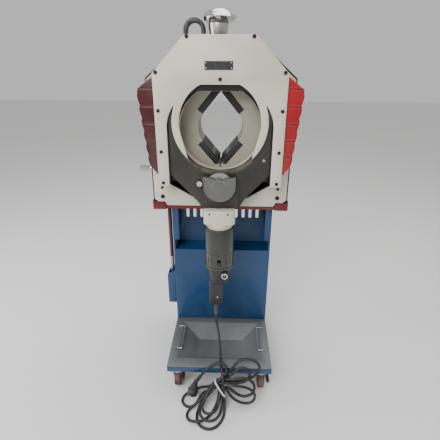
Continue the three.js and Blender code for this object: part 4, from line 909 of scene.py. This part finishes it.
def pale_ring(name, node, outer, inner, body, finish, rise=0.0008):
    a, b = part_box(node)
    obj = disc(outer, 0.003, ((a.x + b.x) / 2, a.y - rise, (a.z + b.z) / 2), bevel=0.0003, sides=36)
    only(obj)
    bpy.ops.object.transform_apply(location=True, rotation=True, scale=True)
    shape(obj, lambda face: face.normal.y < -0.99)
    bpy.ops.mesh.inset(thickness=outer - inner, depth=0)
    bpy.ops.mesh.extrude_region_move(TRANSFORM_OT_translate={"value": (0, 0.0022, 0)})
    object_mode()
    obj = finished(obj, name, body)
    obj.data.materials.append(finish)
    return obj


dial_lo, dial_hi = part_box("speed_dial")
pale_ring("dial_ring", "speed_dial", 0.0108, 0.0082, "dial", DIAL_WHITE)
# The knob's pale ring is a painted highlight round the rim of the dark knob.
pale_ring("knob_highlight_ring", "cover_knob", 0.0086, 0.0060, "slide", DIAL_WHITE)
mark = block((0.0012, 0.0012, 0.0058),
             ((dial_lo.x + dial_hi.x) / 2, dial_lo.y - 0.0003, (dial_lo.z + dial_hi.z) / 2 + 0.0036), 0.0003)
mark = finished(mark, "dial_mark", "dial")
mark.data.materials.append(DIAL_WHITE)

# %% [markdown]
# The motor is a ribbed can: a joint ring under the collar, another above the end cap, air slots between
# the ribs, made as near-black bars that paint the shade inside the openings, and a small clamp screw on the handle.

# %% Motor rings, slots and clamp screw
motor_lo, motor_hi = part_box("motor_housing")
motor_x, motor_y = (motor_lo.x + motor_hi.x) / 2, (motor_lo.y + motor_hi.y) / 2
motor_r = (motor_hi.x - motor_lo.x) / 2


def motor_ring(z, tall, proud):
    ring = disc(motor_r + proud, tall, (motor_x, motor_y, z), (0, 0, 1), 48, min(proud, tall / 2) * 0.8)
    return ring


rings = joined([motor_ring(motor_hi.z - 0.012, 0.005, 0.0012), motor_ring(motor_lo.z + 0.012, 0.009, 0.0014),
                motor_ring(motor_lo.z + 0.064, 0.003, 0.0009)], "motor_rings", "slide")
rings.data.materials.append(MOTOR_PAINT)
# The slots are not cut: dark bars on the can are painted shade for the openings.
slots = []
for k in range(10):
    a = radians(-90 + (k - 4.5) * 20)
    if abs(k - 4.5) < 1:
        continue
    slit = block((0.0032, 0.003, 0.026), (0, 0, 0), 0.0012)
    slit.matrix_world = (Matrix.Translation((motor_x + cos(a) * (motor_r - 0.0009),
                                             motor_y + sin(a) * (motor_r - 0.0009), motor_lo.z + 0.037))
                         @ Matrix.Rotation(a + pi / 2, 4, "Z"))
    slots.append(slit)
bpy.context.view_layer.update()
air_slots = joined(slots, "motor_air_slots", "slide")
air_slots.data.materials.append(SLOT_DARK)
handle_lo, handle_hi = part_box("motor_handle")
clamp = front_of("motor_handle", (handle_lo.x + handle_hi.x) / 2 + 0.006, handle_lo.z + 0.036)
copied(screw(0.0030, 0.0020, 20), [(clamp[0], clamp[1])], "handle_screw", "slide", BRIGHT)

# %% Hub caps on the casters and bolts on the carrying handle
for corner in ("front_left", "front_right", "rear_left", "rear_right"):
    a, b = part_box("caster_wheel_" + corner)
    middle = (a + b) / 2
    caps = [(Vector((b.x - 0.0012, middle.y, middle.z)), (1, 0, 0)),
            (Vector((a.x + 0.0012, middle.y, middle.z)), (-1, 0, 0))]
    copied(screw(0.0135, 0.0022, 28, 0.45), caps, "hub_caps_" + corner, "wheel_" + corner, ZINC)
a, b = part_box("carrying_handle")
feet = [(Vector((x, (a.y + b.y) / 2, a.z + 0.0045)), (0, 0, 1)) for x in (a.x + 0.0075, b.x - 0.0075)]
copied(screw(0.0042, 0.0030), feet, "handle_bolts", "frame", BLACK_OXIDE)
print("small hardware done")

# %% [markdown]
# The studio is plain: a pale flat floor, a big soft light above and in front, a second one from above and
# behind, a weaker one from the left, and an even white world that fills the shadows.

# %% Floor and lights
only()
bpy.ops.mesh.primitive_plane_add(size=30, location=(0, 0, -0.0006))
floor = bpy.context.object
floor.name = "floor"
f = Finish("pale_floor", Roughness=0.85)
f.set(Base_Color=f.blend(f.noise(0.8, 2), (0.80, 0.80, 0.79), (0.84, 0.84, 0.83)))
floor.data.materials.append(f.material)


def soft_light(name, spot, aim, size, power, tint=(1, 1, 1)):
    data = bpy.data.lights.new(name, "AREA")
    data.shape, data.size, data.energy, data.color = "SQUARE", size, power, tint
    obj = bpy.data.objects.new(name, data)
    bpy.context.scene.collection.objects.link(obj)
    obj.location = spot
    obj.rotation_mode = "QUATERNION"
    obj.rotation_quaternion = (Vector(aim) - Vector(spot)).to_track_quat("-Z", "Y")
    return obj


soft_light("key", (-0.9, -2.2, 2.6), (0, 0, 0.7), 1.6, 70)
soft_light("left_fill", (-2.4, -0.4, 1.3), (0, 0, 0.7), 1.4, 22)
soft_light("top", (0.4, 0.6, 3.0), (0, 0, 0.6), 2.0, 40)
WORLD_LIGHT = 0.6
world = bpy.data.worlds.new("studio")
bpy.context.scene.world = world
world.use_nodes = True
world.node_tree.nodes["Background"].inputs[0].default_value = (1, 1, 1, 1)
world.node_tree.nodes["Background"].inputs[1].default_value = WORLD_LIGHT
print("floor and lights in place")

for piece in bpy.context.scene.objects:
    if piece.type == "MESH" and not piece.name in frame["nodes"]:
        piece.data.update()
bpy.context.view_layer.update()
